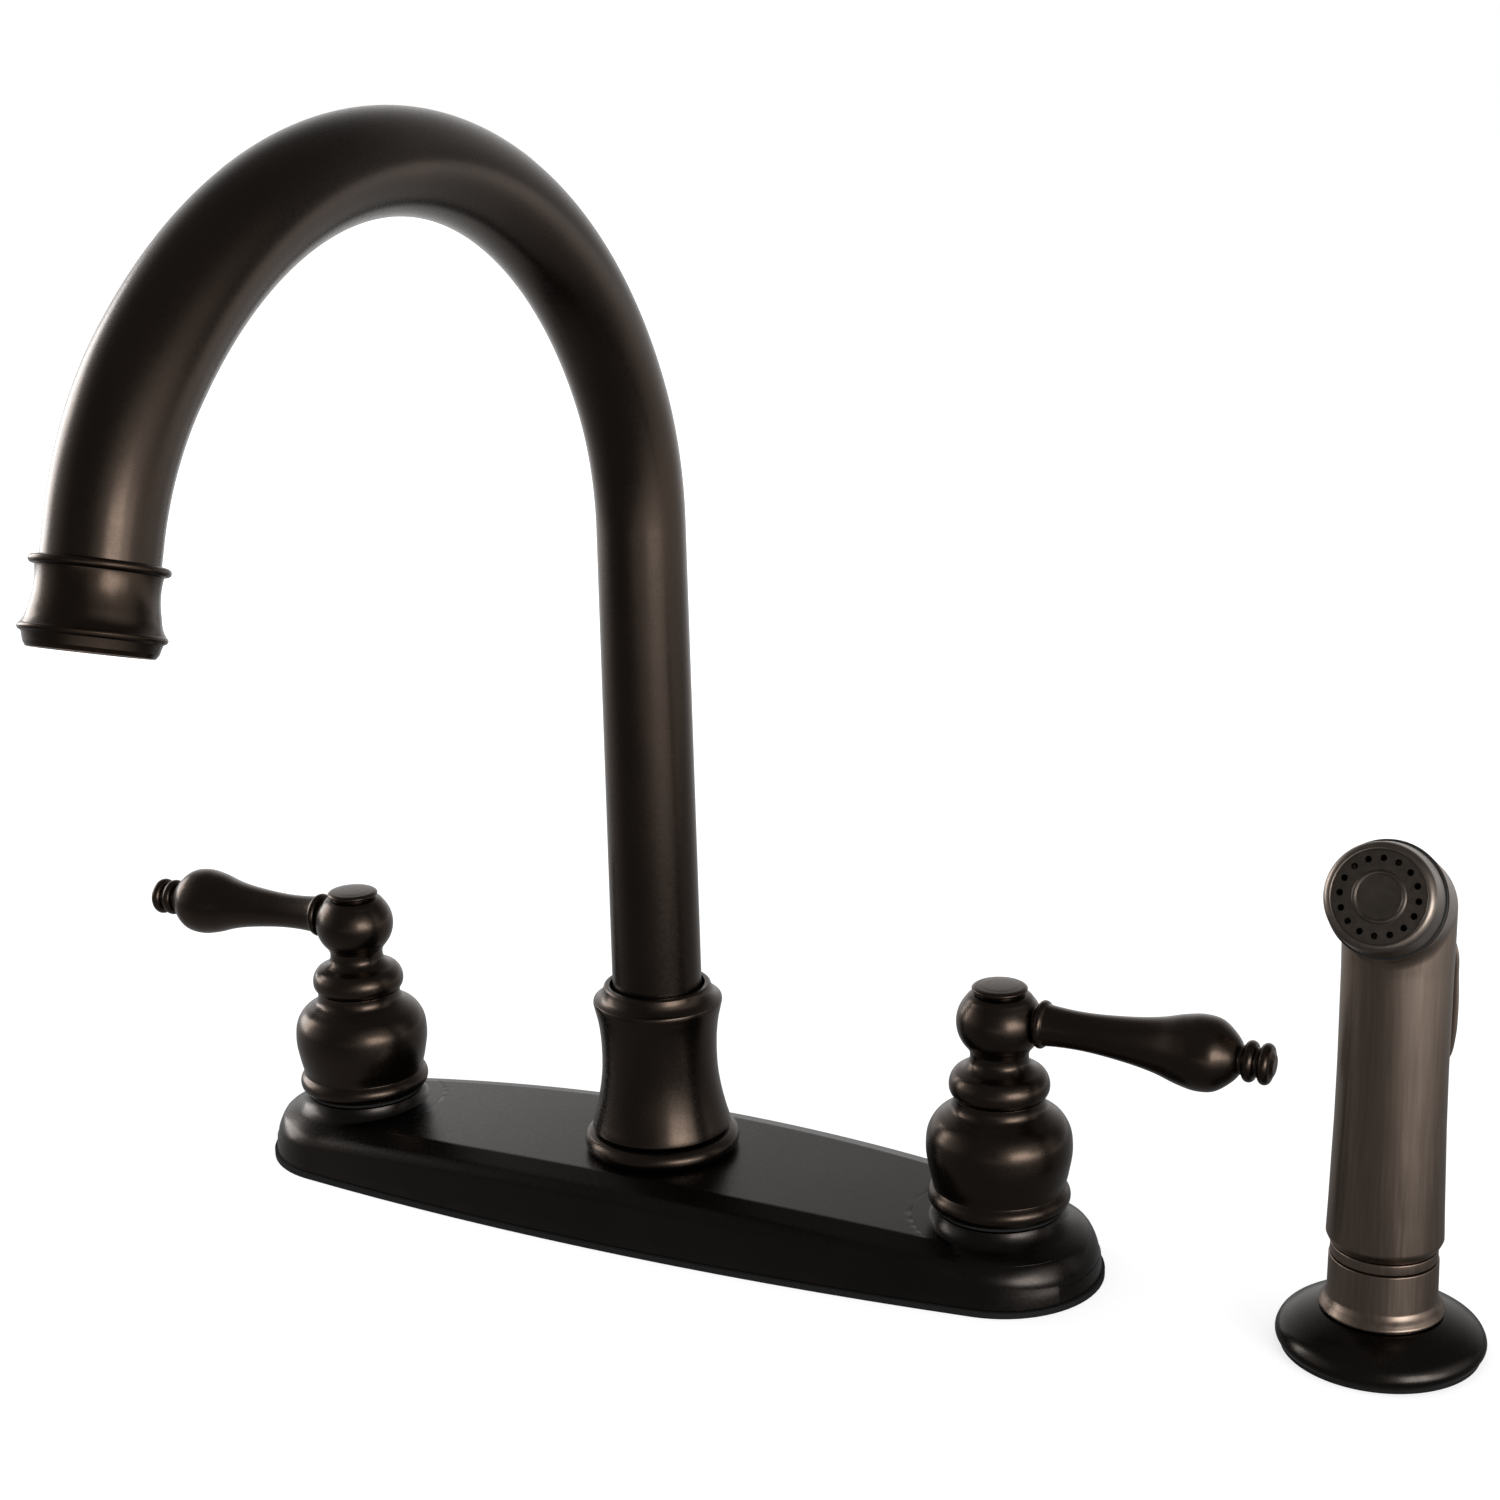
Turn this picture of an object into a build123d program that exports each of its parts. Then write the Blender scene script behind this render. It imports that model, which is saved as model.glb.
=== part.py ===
from build123d import *
import os
from math import cos, radians, sin, sqrt, tan

os.makedirs("parts", exist_ok=True)

# Two handle kitchen faucet with a high arched spout and a separate hand spray.
# Millimetres. Origin: on the spout axis at the sink deck. +X runs to the cold
# handle, -Y is the front, where the spout points, and +Z is up.

# ---------------------------------------------------------------------------
# Driving dimensions
# ---------------------------------------------------------------------------

# Clearances
fit_gap = 0.05            # running or seating fit of a round piece in its hole, per side
body_gap = 0.3            # between pieces that move past each other
port_gap = 0.8            # around a piece that only passes through an opening

# Layout on the deck
handle_offset = 101.6     # each handle axis from the spout axis
spray_pitch = 101.6       # hand spray axis from the cold handle axis
spray_x = handle_offset + spray_pitch
deck_thickness = 20.0     # deck that the nuts below clamp

# Deck plate and its gasket
plate_end_radius = 28.2
plate_mid_half_width = 34.0
gasket_thickness = 1.6
plate_inset = 0.8         # foot of the plate wall inside the gasket edge
plate_draft = 4.0         # degrees
plate_crown_mid = 18.8    # top of the plate at the spout
plate_crown_end = 14.2    # top of the plate at the handles
plate_top_wall = 3.8
plate_side_wall = 3.4
bevel_across = 8.6        # broad sloping bevel between the top and the wall
bevel_drop = 2.6
bevel_round = 2.4

# Handle bosses on the plate
boss_top = 19.2
boss_top_radius = 17.9
boss_foot_radius = 22.0
boss_foot_height = 13.4
boss_skirt = 4.0          # the boss runs down into the plate
boss_flare = 0.8          # how far the flank of the boss curves in

# Bells over the cartridges
bell_seal_thickness = 1.0
bell_seal_radius = 17.3
bell_seal_width = 1.8
bell_height = 28.9
bell_bead_radius = 18.95
bell_bead_height = 4.8
bell_foot_radius = 17.9
bell_waist_radius = 17.5
bell_waist_height = 5.3
bell_belly_radius = 19.4
bell_belly_height = 16.5
bell_shoulder_radius = 17.2
bell_shoulder_height = 24.2
bell_neck_radius = 12.9
bell_neck_height = 27.4
bell_top_radius = 12.1
bell_wall = 1.7

# Handles
handle_collar_radius = 13.27
handle_collar_height = 4.4
handle_foot_radius = 12.5
handle_foot_height = 1.4
handle_step_radius = 12.1
handle_step_height = 1.8
handle_shoulder_radius = 9.3
handle_shoulder_height = 9.0
handle_neck_radius = 7.2
handle_neck_height = 12.2
ball_radius = 11.0
ball_height = 22.1        # ball centre above the foot of the handle
ball_foot_radius = 8.0
ball_foot_height = 14.7
ball_rim_radius = 9.0
ball_rim_drop = 1.6       # rim of the ball below its flat top
ball_top_radius = 6.9
ball_top_height = 29.5
button_radius = 7.2
button_thickness = 2.3
button_groove = 0.5
button_groove_radius = 6.6
button_plug_radius = 3.9
button_plug_length = 4.0
handle_screw_radius = 1.95
handle_screw_head_radius = 3.5
handle_screw_head_height = 2.6
handle_screw_length = 10.0
handle_screw_slot = 0.9
handle_web = 3.6

# Levers, measured outwards from the handle axis
lever_droop = 1.5         # degrees below level
lever_root = 9.0
lever_bead_at = 12.9
lever_bead_radius = 5.85
lever_seat_radius = 4.5
lever_bead_half = 1.4
lever_stem_radius = 5.2
lever_neck_at = 24.0
lever_neck_radius = 4.7
lever_swell_at = 43.3
lever_swell_radius = 7.35
lever_bulb_at = 54.0
lever_bulb_radius = 9.8
lever_cheek_at = 61.4
lever_cheek_radius = 7.1
lever_end_at = 64.2
lever_end_radius = 3.8
finial_radius = 5.35
finial_thickness = 3.1
finial_groove = 0.9
finial_dome = 0.7
lever_spigot_radius = 3.0
lever_spigot_length = 4.0

# Cartridges and stems
cartridge_radius = 11.0
cartridge_flange_radius = 13.4
cartridge_flange_height = 4.0
cartridge_guide_radius = 7.6
cartridge_guide_height = 13.0
cartridge_chamber_radius = 8.9
cartridge_port_width = 3.0
stem_radius = 4.0
stem_flange_radius = 8.4
stem_flange_height = 3.0
stem_in_handle = 12.6
stem_square = 5.4         # across the flats of the drive inside the handle
stem_square_foot = 1.0    # where the square starts above the foot of the handle
stem_screw_depth = 9.0
disc_radius = 8.4
disc_thickness = 3.0
disc_port_radius = 2.3
disc_port_offset = 4.9
seat_seal_radius = 8.0
seat_seal_bore = 5.8
seat_seal_thickness = 2.2

# Valve bodies
valve_body_radius = 17.0
valve_body_top = 8.4
valve_neck_radius = 14.8
valve_neck_top = 26.0
valve_chamber_floor = 9.4
valve_waterway_radius = 6.4
supply_radius = 10.4      # half inch straight pipe thread, over its crests
supply_length = 52.0      # below the deck
crossover_radius = 3.0
crossover_bore = 2.2
crossover_height = 5.0
crossover_socket = 3.0
valve_port_radius = 1.3
valve_port_offset = 8.9
washer_radius = 19.0
washer_thickness = 2.0
nut_radius = 17.0
nut_thickness = 8.0
shank_relief_height = 1.0        # undercut between the nut's thread and the supply's
shank_relief_depth = 0.6

# Centre body and spout bearing
centre_body_radius = 19.0
centre_body_top = 14.6
centre_neck_radius = 14.6
centre_neck_top = 40.2
spigot_radius = 10.95
spigot_bore = 8.0
spigot_depth = 30.0
spigot_flange_radius = 12.3
spigot_flange_height = 3.5
spigot_plug_length = 12.0
o_ring_section = 1.6
o_ring_heights = (8.0, 20.0)      # above the foot of the spigot
spigot_foot_gap = 0.5
diverter_chamber_radius = 7.0
diverter_chamber_floor = -9.0
diverter_seat_height = 3.0
diverter_seat_bore = 4.2
poppet_radius = 6.0
poppet_thickness = 2.5
poppet_stem_radius = 1.8
poppet_stem_length = 7.0
poppet_travel = 2.5
diverter_spring_radius = 5.0
diverter_spring_wall = 1.0
spray_outlet_radius = 9.5
spray_outlet_length = 40.0        # below the deck
spray_outlet_bore = 4.0
hose_room = 2.0                  # round the spray outlet in the gasket, for the hose end

# Spout base ring and collar
base_ring_radius = 21.84
base_ring_foot_radius = 20.8
base_ring_top_radius = 19.5
base_ring_height = 5.2
base_ring_bulge_height = 2.0
collar_gap = 0.4
collar_foot_radius = 19.65
collar_flare_radius = 18.7
collar_flare_height = 4.1
collar_lower_radius = 17.2
collar_lower_height = 10.6
collar_waist_radius = 16.13
collar_waist_height = 22.7
collar_shoulder_radius = 17.1
collar_shoulder_height = 33.6
collar_ring_radius = 17.8
collar_ring_height = 37.0
collar_neck_radius = 15.2
collar_lip_radius = 14.5
collar_lip_height = 2.2
collar_height = 42.6
collar_mouth_radius = 13.3
collar_throat_height = 30.0
retainer_height = 2.4

# Spout tube
tube_foot_radius = 12.45
tube_sleeve_top = 60.0            # plain lower stretch, tapered above it
tube_bend_radius = 11.9           # half the diameter round the arch
tube_end_radius = 11.4
tube_wall = 1.6
riser_top = 195.7
rise_bend_radius = 80.0           # first stretch of the arch
rise_bend_angle = 26.0
arch_bend_radius = 113.6          # main stretch, over the top
arch_bend_angle = 111.5
drop_radius = 70.0                # last stretch, where the tube narrows
drop_angle = 25.5
outlet_length = 6.0               # straight end of the tube

# Aerator housing, measured along the outlet from the end of the tube
housing_step_radius = 12.0
upper_bead_at = 2.0
upper_bead_radius = 13.3
bead_half_thickness = 0.85
housing_waist_at = 5.8
housing_waist_radius = 11.8
housing_flare_radius = 13.2
lower_bead_at = 14.3
lower_bead_radius = 14.06
lip_at = 16.2
lip_radius = 12.8
mouth_at = 17.6
mouth_radius = 11.3
housing_bore_radius = 10.2
housing_bore_at = 6.0
housing_plug_length = 5.5
housing_plug_wall = 1.3
aerator_washer_thickness = 1.6
aerator_washer_bore = 7.6
aerator_recess = 1.4
aerator_rim = 1.2
aerator_face = 1.6
aerator_hole_radius = 0.75
aerator_hole_spacing = 2.5
aerator_hole_rings = 3

# Hand spray holder
holder_base_radius = 25.8
holder_base_foot_radius = 24.6
holder_base_widest = 3.6
holder_base_shoulder_radius = 22.4
holder_base_shoulder_height = 8.4
holder_base_height = 11.0
holder_foot_radius = 15.4
holder_foot_height = 2.4
holder_sleeve_radius = 13.4
holder_sleeve_top = 25.0
holder_bore = 11.2
holder_shank_radius = 14.0
holder_shank_length = 42.0        # below the deck
holder_gasket_thickness = 1.0
holder_washer_radius = 24.0
holder_nut_radius = 22.0
holder_nut_thickness = 7.0

# Hand spray
coupling_ring_radius = 13.1
coupling_ring_height = 2.7
coupling_tail_radius = 8.6        # at the lower end of the tapered tail
coupling_tail_length = 21.0
coupling_bore = 3.6
coupling_spigot_radius = 6.0
coupling_spigot_length = 9.0
coupling_o_ring_height = 5.0      # above the coupling ring
grip_foot_radius = 13.3
grip_foot_chamfer = 2.4
grip_lower_radius = 14.3
grip_waist_radius = 13.2
grip_waist_height = 75.0
grip_upper_radius = 13.2
grip_upper_drop = 23.0            # end of the grip's curve below the face centre
grip_passage_radius = 4.2
head_tilt = 22.0                  # the face looks this far above level
head_reach = 25.0                 # face centre in front of the grip axis
head_height = 126.0               # face centre above the deck
head_body_radius = 14.3            # at the seam; the head widens towards it
elbow_radius = 13.3
bezel_length = 8.8
bezel_seam_radius = 14.05
bezel_face_radius = 12.4
bezel_chamfer = 0.9
seam_thickness = 0.8
seam_radius = 13.5
face_radius = 11.3
face_lip = 0.4                    # the bezel covers this much of the face edge
face_recess = 0.5
face_thickness = 2.6
face_disc_radius = 5.6
face_disc_height = 0.5
face_hole_radius = 0.85
face_hole_ring_radius = 9.03
face_hole_count = 16
nose_radius = 11.3                # threaded nose of the grip inside the bezel
diffuser_radius = 9.5
diffuser_depth = 6.0

# Thumb lever, its pin and the spray valve behind it
lug_reach = 3.0                   # pin centre outside the elbow
lug_angle = 4.0                   # pin centre below level, seen from the elbow
lug_thickness = 2.6
lug_radius = 2.6
lug_root = 8.0
pin_radius = 1.25
thumb_barrel_half = 4.4
thumb_thickness = 2.2
thumb_barrel_radius = 2.6
thumb_half_width = 11.1
thumb_neck_back = 17.2
thumb_neck_drop = 5.5             # heights of the paddle below its pin
thumb_tip_half_width = 10.1       # a little above the tip
thumb_tip_rise = 6.5
thumb_upper_back = 18.7           # middle of the paddle behind the axis, high up
thumb_upper_drop = 12.0
thumb_mid_back = 20.0
thumb_mid_drop = 22.0
thumb_tip_back = 21.0
thumb_tip_drop = 49.8
plunger_radius = 2.4
plunger_travel = 2.1
plunger_drop = 24.0               # spray valve below the pin
plunger_reach = 4.0               # inner end in front of the grip axis
plunger_head_radius = 4.0
plunger_head_length = 3.0
valve_chamber_radius = 4.5
plunger_spring_block = 1.4        # length of the spring fully pressed
gland_inner = 8.5
gland_outer = 12.4
valve_spring_radius = 3.8
valve_spring_wall = 0.8

# ---------------------------------------------------------------------------
# Heights and places worked out from the driving dimensions
# ---------------------------------------------------------------------------

bell_foot = boss_top + bell_seal_thickness
bell_top = bell_foot + bell_height
handle_foot = bell_top + body_gap
ball_centre = handle_foot + ball_height
button_seat = handle_foot + ball_top_height
stem_top = handle_foot + stem_in_handle
web_top = stem_top + fit_gap + handle_web
spout_seat = centre_neck_top + body_gap
tube_foot = spout_seat + spigot_flange_height
collar_foot = plate_crown_mid + base_ring_height + collar_gap
grip_foot = holder_sleeve_top + body_gap + coupling_ring_height + body_gap
chamber_roof = (valve_chamber_floor + seat_seal_thickness + 2 * disc_thickness + fit_gap
                + stem_flange_height + body_gap)
spigot_foot = spout_seat - spigot_depth
collar_throat = collar_foot + collar_throat_height
elbow_height = head_height - head_reach * tan(radians(head_tilt))
face_at = head_reach / cos(radians(head_tilt))       # face centre from the elbow
seam_at = face_at - bezel_length - seam_thickness
plate_back = face_at - face_recess - face_thickness
valve_chamber_depth = plunger_reach + plunger_travel + plunger_spring_block
coupling_top = grip_foot - body_gap
pin_at = elbow_radius + lug_reach
pin_y = pin_at * cos(radians(lug_angle))
pin_z = elbow_height - pin_at * sin(radians(lug_angle))
grip_upper_height = head_height - grip_upper_drop
thumb_neck_height = pin_z - thumb_neck_drop
thumb_upper_height = pin_z - thumb_upper_drop
thumb_mid_height = pin_z - thumb_mid_drop
thumb_tip_height = pin_z - thumb_tip_drop
plunger_height = pin_z - plunger_drop
sides = (("hot", -handle_offset, -1), ("cold", handle_offset, 1))


def save(piece, name):
    """Label a finished piece and write it to its own file."""
    piece.part.label = name
    export_step(piece.part, f"parts/{name}.step")


def upright(x, y=0.0):
    """Section plane through a vertical axis: local x is the radius, local y the height."""
    return Plane(origin=(x, y, 0), x_dir=(1, 0, 0), z_dir=(0, -1, 0))


def vertical(x, y=0.0):
    """Vertical axis through a point of the deck."""
    return Axis((x, y, 0), (0, 0, 1))


def level(height, x=0.0, y=0.0):
    """Horizontal plane at a height, centred on an axis."""
    return Plane(origin=(x, y, height))


def ring(height, thickness, outer, inner, x=0.0):
    """Flat ring standing on a height, added to the part being built."""
    with BuildSketch(level(height, x)) as section:
        Circle(outer)
        if inner > 0:
            Circle(inner, mode=Mode.SUBTRACT)
    extrude(section.sketch, amount=thickness)


def bore(bottom, top, radius, x=0.0):
    """Vertical hole between two heights, cut from the part being built."""
    with BuildSketch(level(bottom, x)) as section:
        Circle(radius)
    extrude(section.sketch, amount=top - bottom, mode=Mode.SUBTRACT)


def lens_face(inset, height):
    """Plan of the deck plate: two round ends joined by long shallow arcs."""
    end = plate_end_radius - inset
    mid = plate_mid_half_width - inset
    long_radius = (handle_offset**2 + mid**2 - end**2) / (2 * (mid - end))
    share = end / (long_radius - end)
    touch_x = handle_offset * (1 + share)
    touch_y = (long_radius - mid) * share
    with BuildSketch(level(height)) as plan:
        with BuildLine():
            ThreePointArc((-touch_x, -touch_y), (0, -mid), (touch_x, -touch_y))
            ThreePointArc((touch_x, -touch_y), (handle_offset + end, 0), (touch_x, touch_y))
            ThreePointArc((touch_x, touch_y), (0, mid), (-touch_x, touch_y))
            ThreePointArc((-touch_x, touch_y), (-handle_offset - end, 0), (-touch_x, -touch_y))
        make_face()
    return plan.sketch


def crown_slab(lowered):
    """Keep only what lies under the crowned top of the plate, lowered by some wall."""
    rise = plate_crown_mid - plate_crown_end
    crown_radius = (handle_offset**2 + rise**2) / (2 * rise)
    half = handle_offset + 2 * plate_end_radius
    mid_height = plate_crown_mid - lowered
    side_height = mid_height - crown_radius + sqrt(crown_radius**2 - half**2)
    with BuildSketch(Plane.XZ) as section:
        with BuildLine():
            Line((-half, 0), (half, 0))
            Line((half, 0), (half, side_height))
            ThreePointArc((half, side_height), (0, mid_height), (-half, side_height))
            Line((-half, side_height), (-half, 0))
        make_face()
    extrude(section.sketch, amount=2 * plate_mid_half_width, both=True, mode=Mode.INTERSECT)


# ---------------------------------------------------------------------------
# Deck plate and gasket
# ---------------------------------------------------------------------------

with BuildPart() as plate_cavity:
    extrude(lens_face(plate_inset + plate_side_wall, gasket_thickness), amount=plate_crown_mid)
    crown_slab(plate_top_wall)

with BuildPart() as deck_plate:
    extrude(lens_face(plate_inset, gasket_thickness), amount=plate_crown_mid, taper=plate_draft)
    crown_slab(0)
    top_face = deck_plate.faces().sort_by(Axis.Z)[-1]
    chamfer(top_face.edges(), bevel_across, bevel_drop, reference=top_face)
    by_length = deck_plate.edges(Select.LAST).sort_by(SortBy.LENGTH)
    creases = by_length[-6:-4] + by_length[-2:]
    fillet(creases, bevel_round)
    add(plate_cavity.part, mode=Mode.SUBTRACT)
    for side, x, outward in sides:
        with BuildSketch(upright(x)):
            with BuildLine():
                Line((0, boss_foot_height - boss_skirt), (0, boss_top))
                Line((0, boss_top), (boss_top_radius, boss_top))
                ThreePointArc(
                    (boss_top_radius, boss_top),
                    ((boss_top_radius + boss_foot_radius) / 2 - boss_flare,
                     (boss_top + boss_foot_height) / 2),
                    (boss_foot_radius, boss_foot_height),
                )
                Line((boss_foot_radius, boss_foot_height),
                     (boss_foot_radius, boss_foot_height - boss_skirt))
                Line((boss_foot_radius, boss_foot_height - boss_skirt),
                     (0, boss_foot_height - boss_skirt))
            make_face()
        revolve(axis=vertical(x))
        bore(0, boss_top, valve_neck_radius + port_gap, x)
    bore(0, plate_crown_mid, centre_neck_radius + port_gap)
save(deck_plate, "deck_plate")

with BuildPart() as deck_gasket:
    extrude(lens_face(0, 0), amount=gasket_thickness)
    for side, x, outward in sides:
        bore(0, gasket_thickness, supply_radius + port_gap, x)
    bore(0, gasket_thickness, spray_outlet_radius + hose_room)
save(deck_gasket, "deck_gasket")

# ---------------------------------------------------------------------------
# Valve bodies, crossover tubes and the fastenings under the deck
# ---------------------------------------------------------------------------

crossover_start = centre_body_radius - crossover_socket
crossover_end = handle_offset - valve_body_radius + crossover_socket
shank_relief_top = -deck_thickness - washer_thickness - nut_thickness

for side, x, outward in sides:
    with BuildPart() as valve_body:
        ring(-supply_length, supply_length + gasket_thickness, supply_radius, 0, x)
        with BuildSketch(level(shank_relief_top - shank_relief_height, x)):
            Circle(supply_radius)
            Circle(supply_radius - shank_relief_depth, mode=Mode.SUBTRACT)
        extrude(amount=shank_relief_height, mode=Mode.SUBTRACT)
        ring(gasket_thickness, valve_body_top - gasket_thickness, valve_body_radius, 0, x)
        ring(valve_body_top, valve_neck_top - valve_body_top, valve_neck_radius, 0, x)
        bore(-supply_length, valve_chamber_floor, valve_waterway_radius, x)
        bore(valve_chamber_floor, valve_neck_top, cartridge_radius + fit_gap, x)
        bore(crossover_height, valve_chamber_floor, valve_port_radius,
             x - outward * valve_port_offset)
        with BuildSketch(Plane(origin=(outward * (crossover_end + fit_gap), 0, crossover_height),
                               x_dir=(0, 1, 0), z_dir=(-outward, 0, 0))):
            Circle(crossover_radius + fit_gap)
        extrude(amount=crossover_socket + valve_body_radius / 2, mode=Mode.SUBTRACT)
        with BuildSketch(Plane(origin=(outward * crossover_end, 0, crossover_height),
                               x_dir=(0, 1, 0), z_dir=(outward, 0, 0))):
            Circle(valve_port_radius)
        extrude(amount=handle_offset - valve_port_offset - crossover_end, mode=Mode.SUBTRACT)
    save(valve_body, f"{side}_valve_body")

with BuildPart() as crossover_tubes:
    for side, x, outward in sides:
        with BuildSketch(Plane(origin=(outward * crossover_start, 0, crossover_height),
                               x_dir=(0, 1, 0), z_dir=(outward, 0, 0))):
            Circle(crossover_radius)
            Circle(crossover_bore, mode=Mode.SUBTRACT)
        extrude(amount=crossover_end - crossover_start)
save(crossover_tubes, "crossover_tubes")

with BuildPart() as shank_washers:
    for side, x, outward in sides:
        ring(-deck_thickness - washer_thickness, washer_thickness, washer_radius,
             supply_radius + fit_gap, x)
save(shank_washers, "shank_washers")

with BuildPart() as shank_nuts:
    for side, x, outward in sides:
        with BuildSketch(level(shank_relief_top, x)):
            RegularPolygon(nut_radius, 6)
            Circle(supply_radius + fit_gap, mode=Mode.SUBTRACT)
        extrude(amount=nut_thickness)
save(shank_nuts, "shank_nuts")

# ---------------------------------------------------------------------------
# Cartridges: housing, seat seal, ceramic discs
# ---------------------------------------------------------------------------

fixed_disc_foot = valve_chamber_floor + seat_seal_thickness
moving_disc_foot = fixed_disc_foot + disc_thickness + fit_gap
stem_foot = moving_disc_foot + disc_thickness
guide_top = valve_neck_top + cartridge_flange_height + cartridge_guide_height

for side, x, outward in sides:
    with BuildPart() as cartridge:
        ring(valve_chamber_floor, valve_neck_top - valve_chamber_floor, cartridge_radius, 0, x)
        with BuildSketch(level(valve_neck_top, x)):
            RegularPolygon(cartridge_flange_radius, 6)
        extrude(amount=cartridge_flange_height)
        ring(valve_neck_top + cartridge_flange_height, cartridge_guide_height,
             cartridge_guide_radius, 0, x)
        bore(valve_chamber_floor, chamber_roof, cartridge_chamber_radius, x)
        bore(chamber_roof, guide_top, stem_radius + fit_gap, x)
        with BuildSketch(level(valve_chamber_floor, x - outward * cartridge_chamber_radius)):
            Rectangle(4 * (cartridge_radius - cartridge_chamber_radius), cartridge_port_width)
        extrude(amount=chamber_roof - valve_chamber_floor, mode=Mode.SUBTRACT)
    save(cartridge, f"{side}_cartridge")

with BuildPart() as seat_seals:
    for side, x, outward in sides:
        ring(valve_chamber_floor, seat_seal_thickness, seat_seal_radius, seat_seal_bore, x)
save(seat_seals, "seat_seals")

with BuildPart() as fixed_discs:
    for side, x, outward in sides:
        with BuildSketch(level(fixed_disc_foot, x)):
            Circle(disc_radius)
            with Locations((0, disc_port_offset), (0, -disc_port_offset)):
                Circle(disc_port_radius, mode=Mode.SUBTRACT)
        extrude(amount=disc_thickness)
save(fixed_discs, "fixed_discs")

for side, x, outward in sides:
    with BuildPart() as moving_disc:
        with BuildSketch(level(moving_disc_foot, x)):
            Circle(disc_radius)
            with Locations((disc_port_offset, 0), (-disc_port_offset, 0)):
                Circle(disc_port_radius, mode=Mode.SUBTRACT)
        extrude(amount=disc_thickness)
    save(moving_disc, f"{side}_moving_disc")

    with BuildPart() as stem:
        ring(stem_foot, stem_flange_height, stem_flange_radius, 0, x)
        ring(stem_foot, handle_foot + stem_square_foot - stem_foot, stem_radius, 0, x)
        with BuildSketch(level(handle_foot + stem_square_foot, x)):
            Rectangle(stem_square, stem_square)
        extrude(amount=stem_in_handle - stem_square_foot)
        bore(stem_top - stem_screw_depth, stem_top, handle_screw_radius + fit_gap, x)
    save(stem, f"{side}_stem")

# ---------------------------------------------------------------------------
# Bells and their seals
# ---------------------------------------------------------------------------

with BuildPart() as bell_seals:
    for side, x, outward in sides:
        ring(boss_top, bell_seal_thickness, bell_seal_radius,
             bell_seal_radius - bell_seal_width, x)
save(bell_seals, "bell_seals")

for side, x, outward in sides:
    with BuildPart() as bell:
        with BuildSketch(upright(x)):
            with BuildLine():
                inner = bell_waist_radius - bell_wall
                Line((inner, bell_foot), (bell_foot_radius, bell_foot))
                ThreePointArc(
                    (bell_foot_radius, bell_foot),
                    (bell_bead_radius, bell_foot + bell_bead_height / 2),
                    (bell_foot_radius, bell_foot + bell_bead_height),
                )
                Line((bell_foot_radius, bell_foot + bell_bead_height),
                     (bell_waist_radius, bell_foot + bell_waist_height))
                Spline(
                    (bell_waist_radius, bell_foot + bell_waist_height),
                    (bell_belly_radius, bell_foot + bell_belly_height),
                    (bell_shoulder_radius, bell_foot + bell_shoulder_height),
                    (bell_neck_radius, bell_foot + bell_neck_height),
                    tangents=((0.12, 1), (-1, 0.12)),
                )
                Line((bell_neck_radius, bell_foot + bell_neck_height), (bell_top_radius, bell_top))
                Line((bell_top_radius, bell_top), (cartridge_guide_radius, bell_top))
                Line((cartridge_guide_radius, bell_top),
                     (cartridge_guide_radius, bell_top - bell_wall))
                Line((cartridge_guide_radius, bell_top - bell_wall),
                     (bell_top_radius - bell_wall, bell_top - bell_wall))
                Line((bell_top_radius - bell_wall, bell_top - bell_wall),
                     (inner, bell_foot + bell_shoulder_height - bell_wall))
                Line((inner, bell_foot + bell_shoulder_height - bell_wall), (inner, bell_foot))
            make_face()
        revolve(axis=vertical(x))
    save(bell, f"{side}_bell")

# ---------------------------------------------------------------------------
# Handles: hub, screw, index button and lever
# ---------------------------------------------------------------------------

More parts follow.
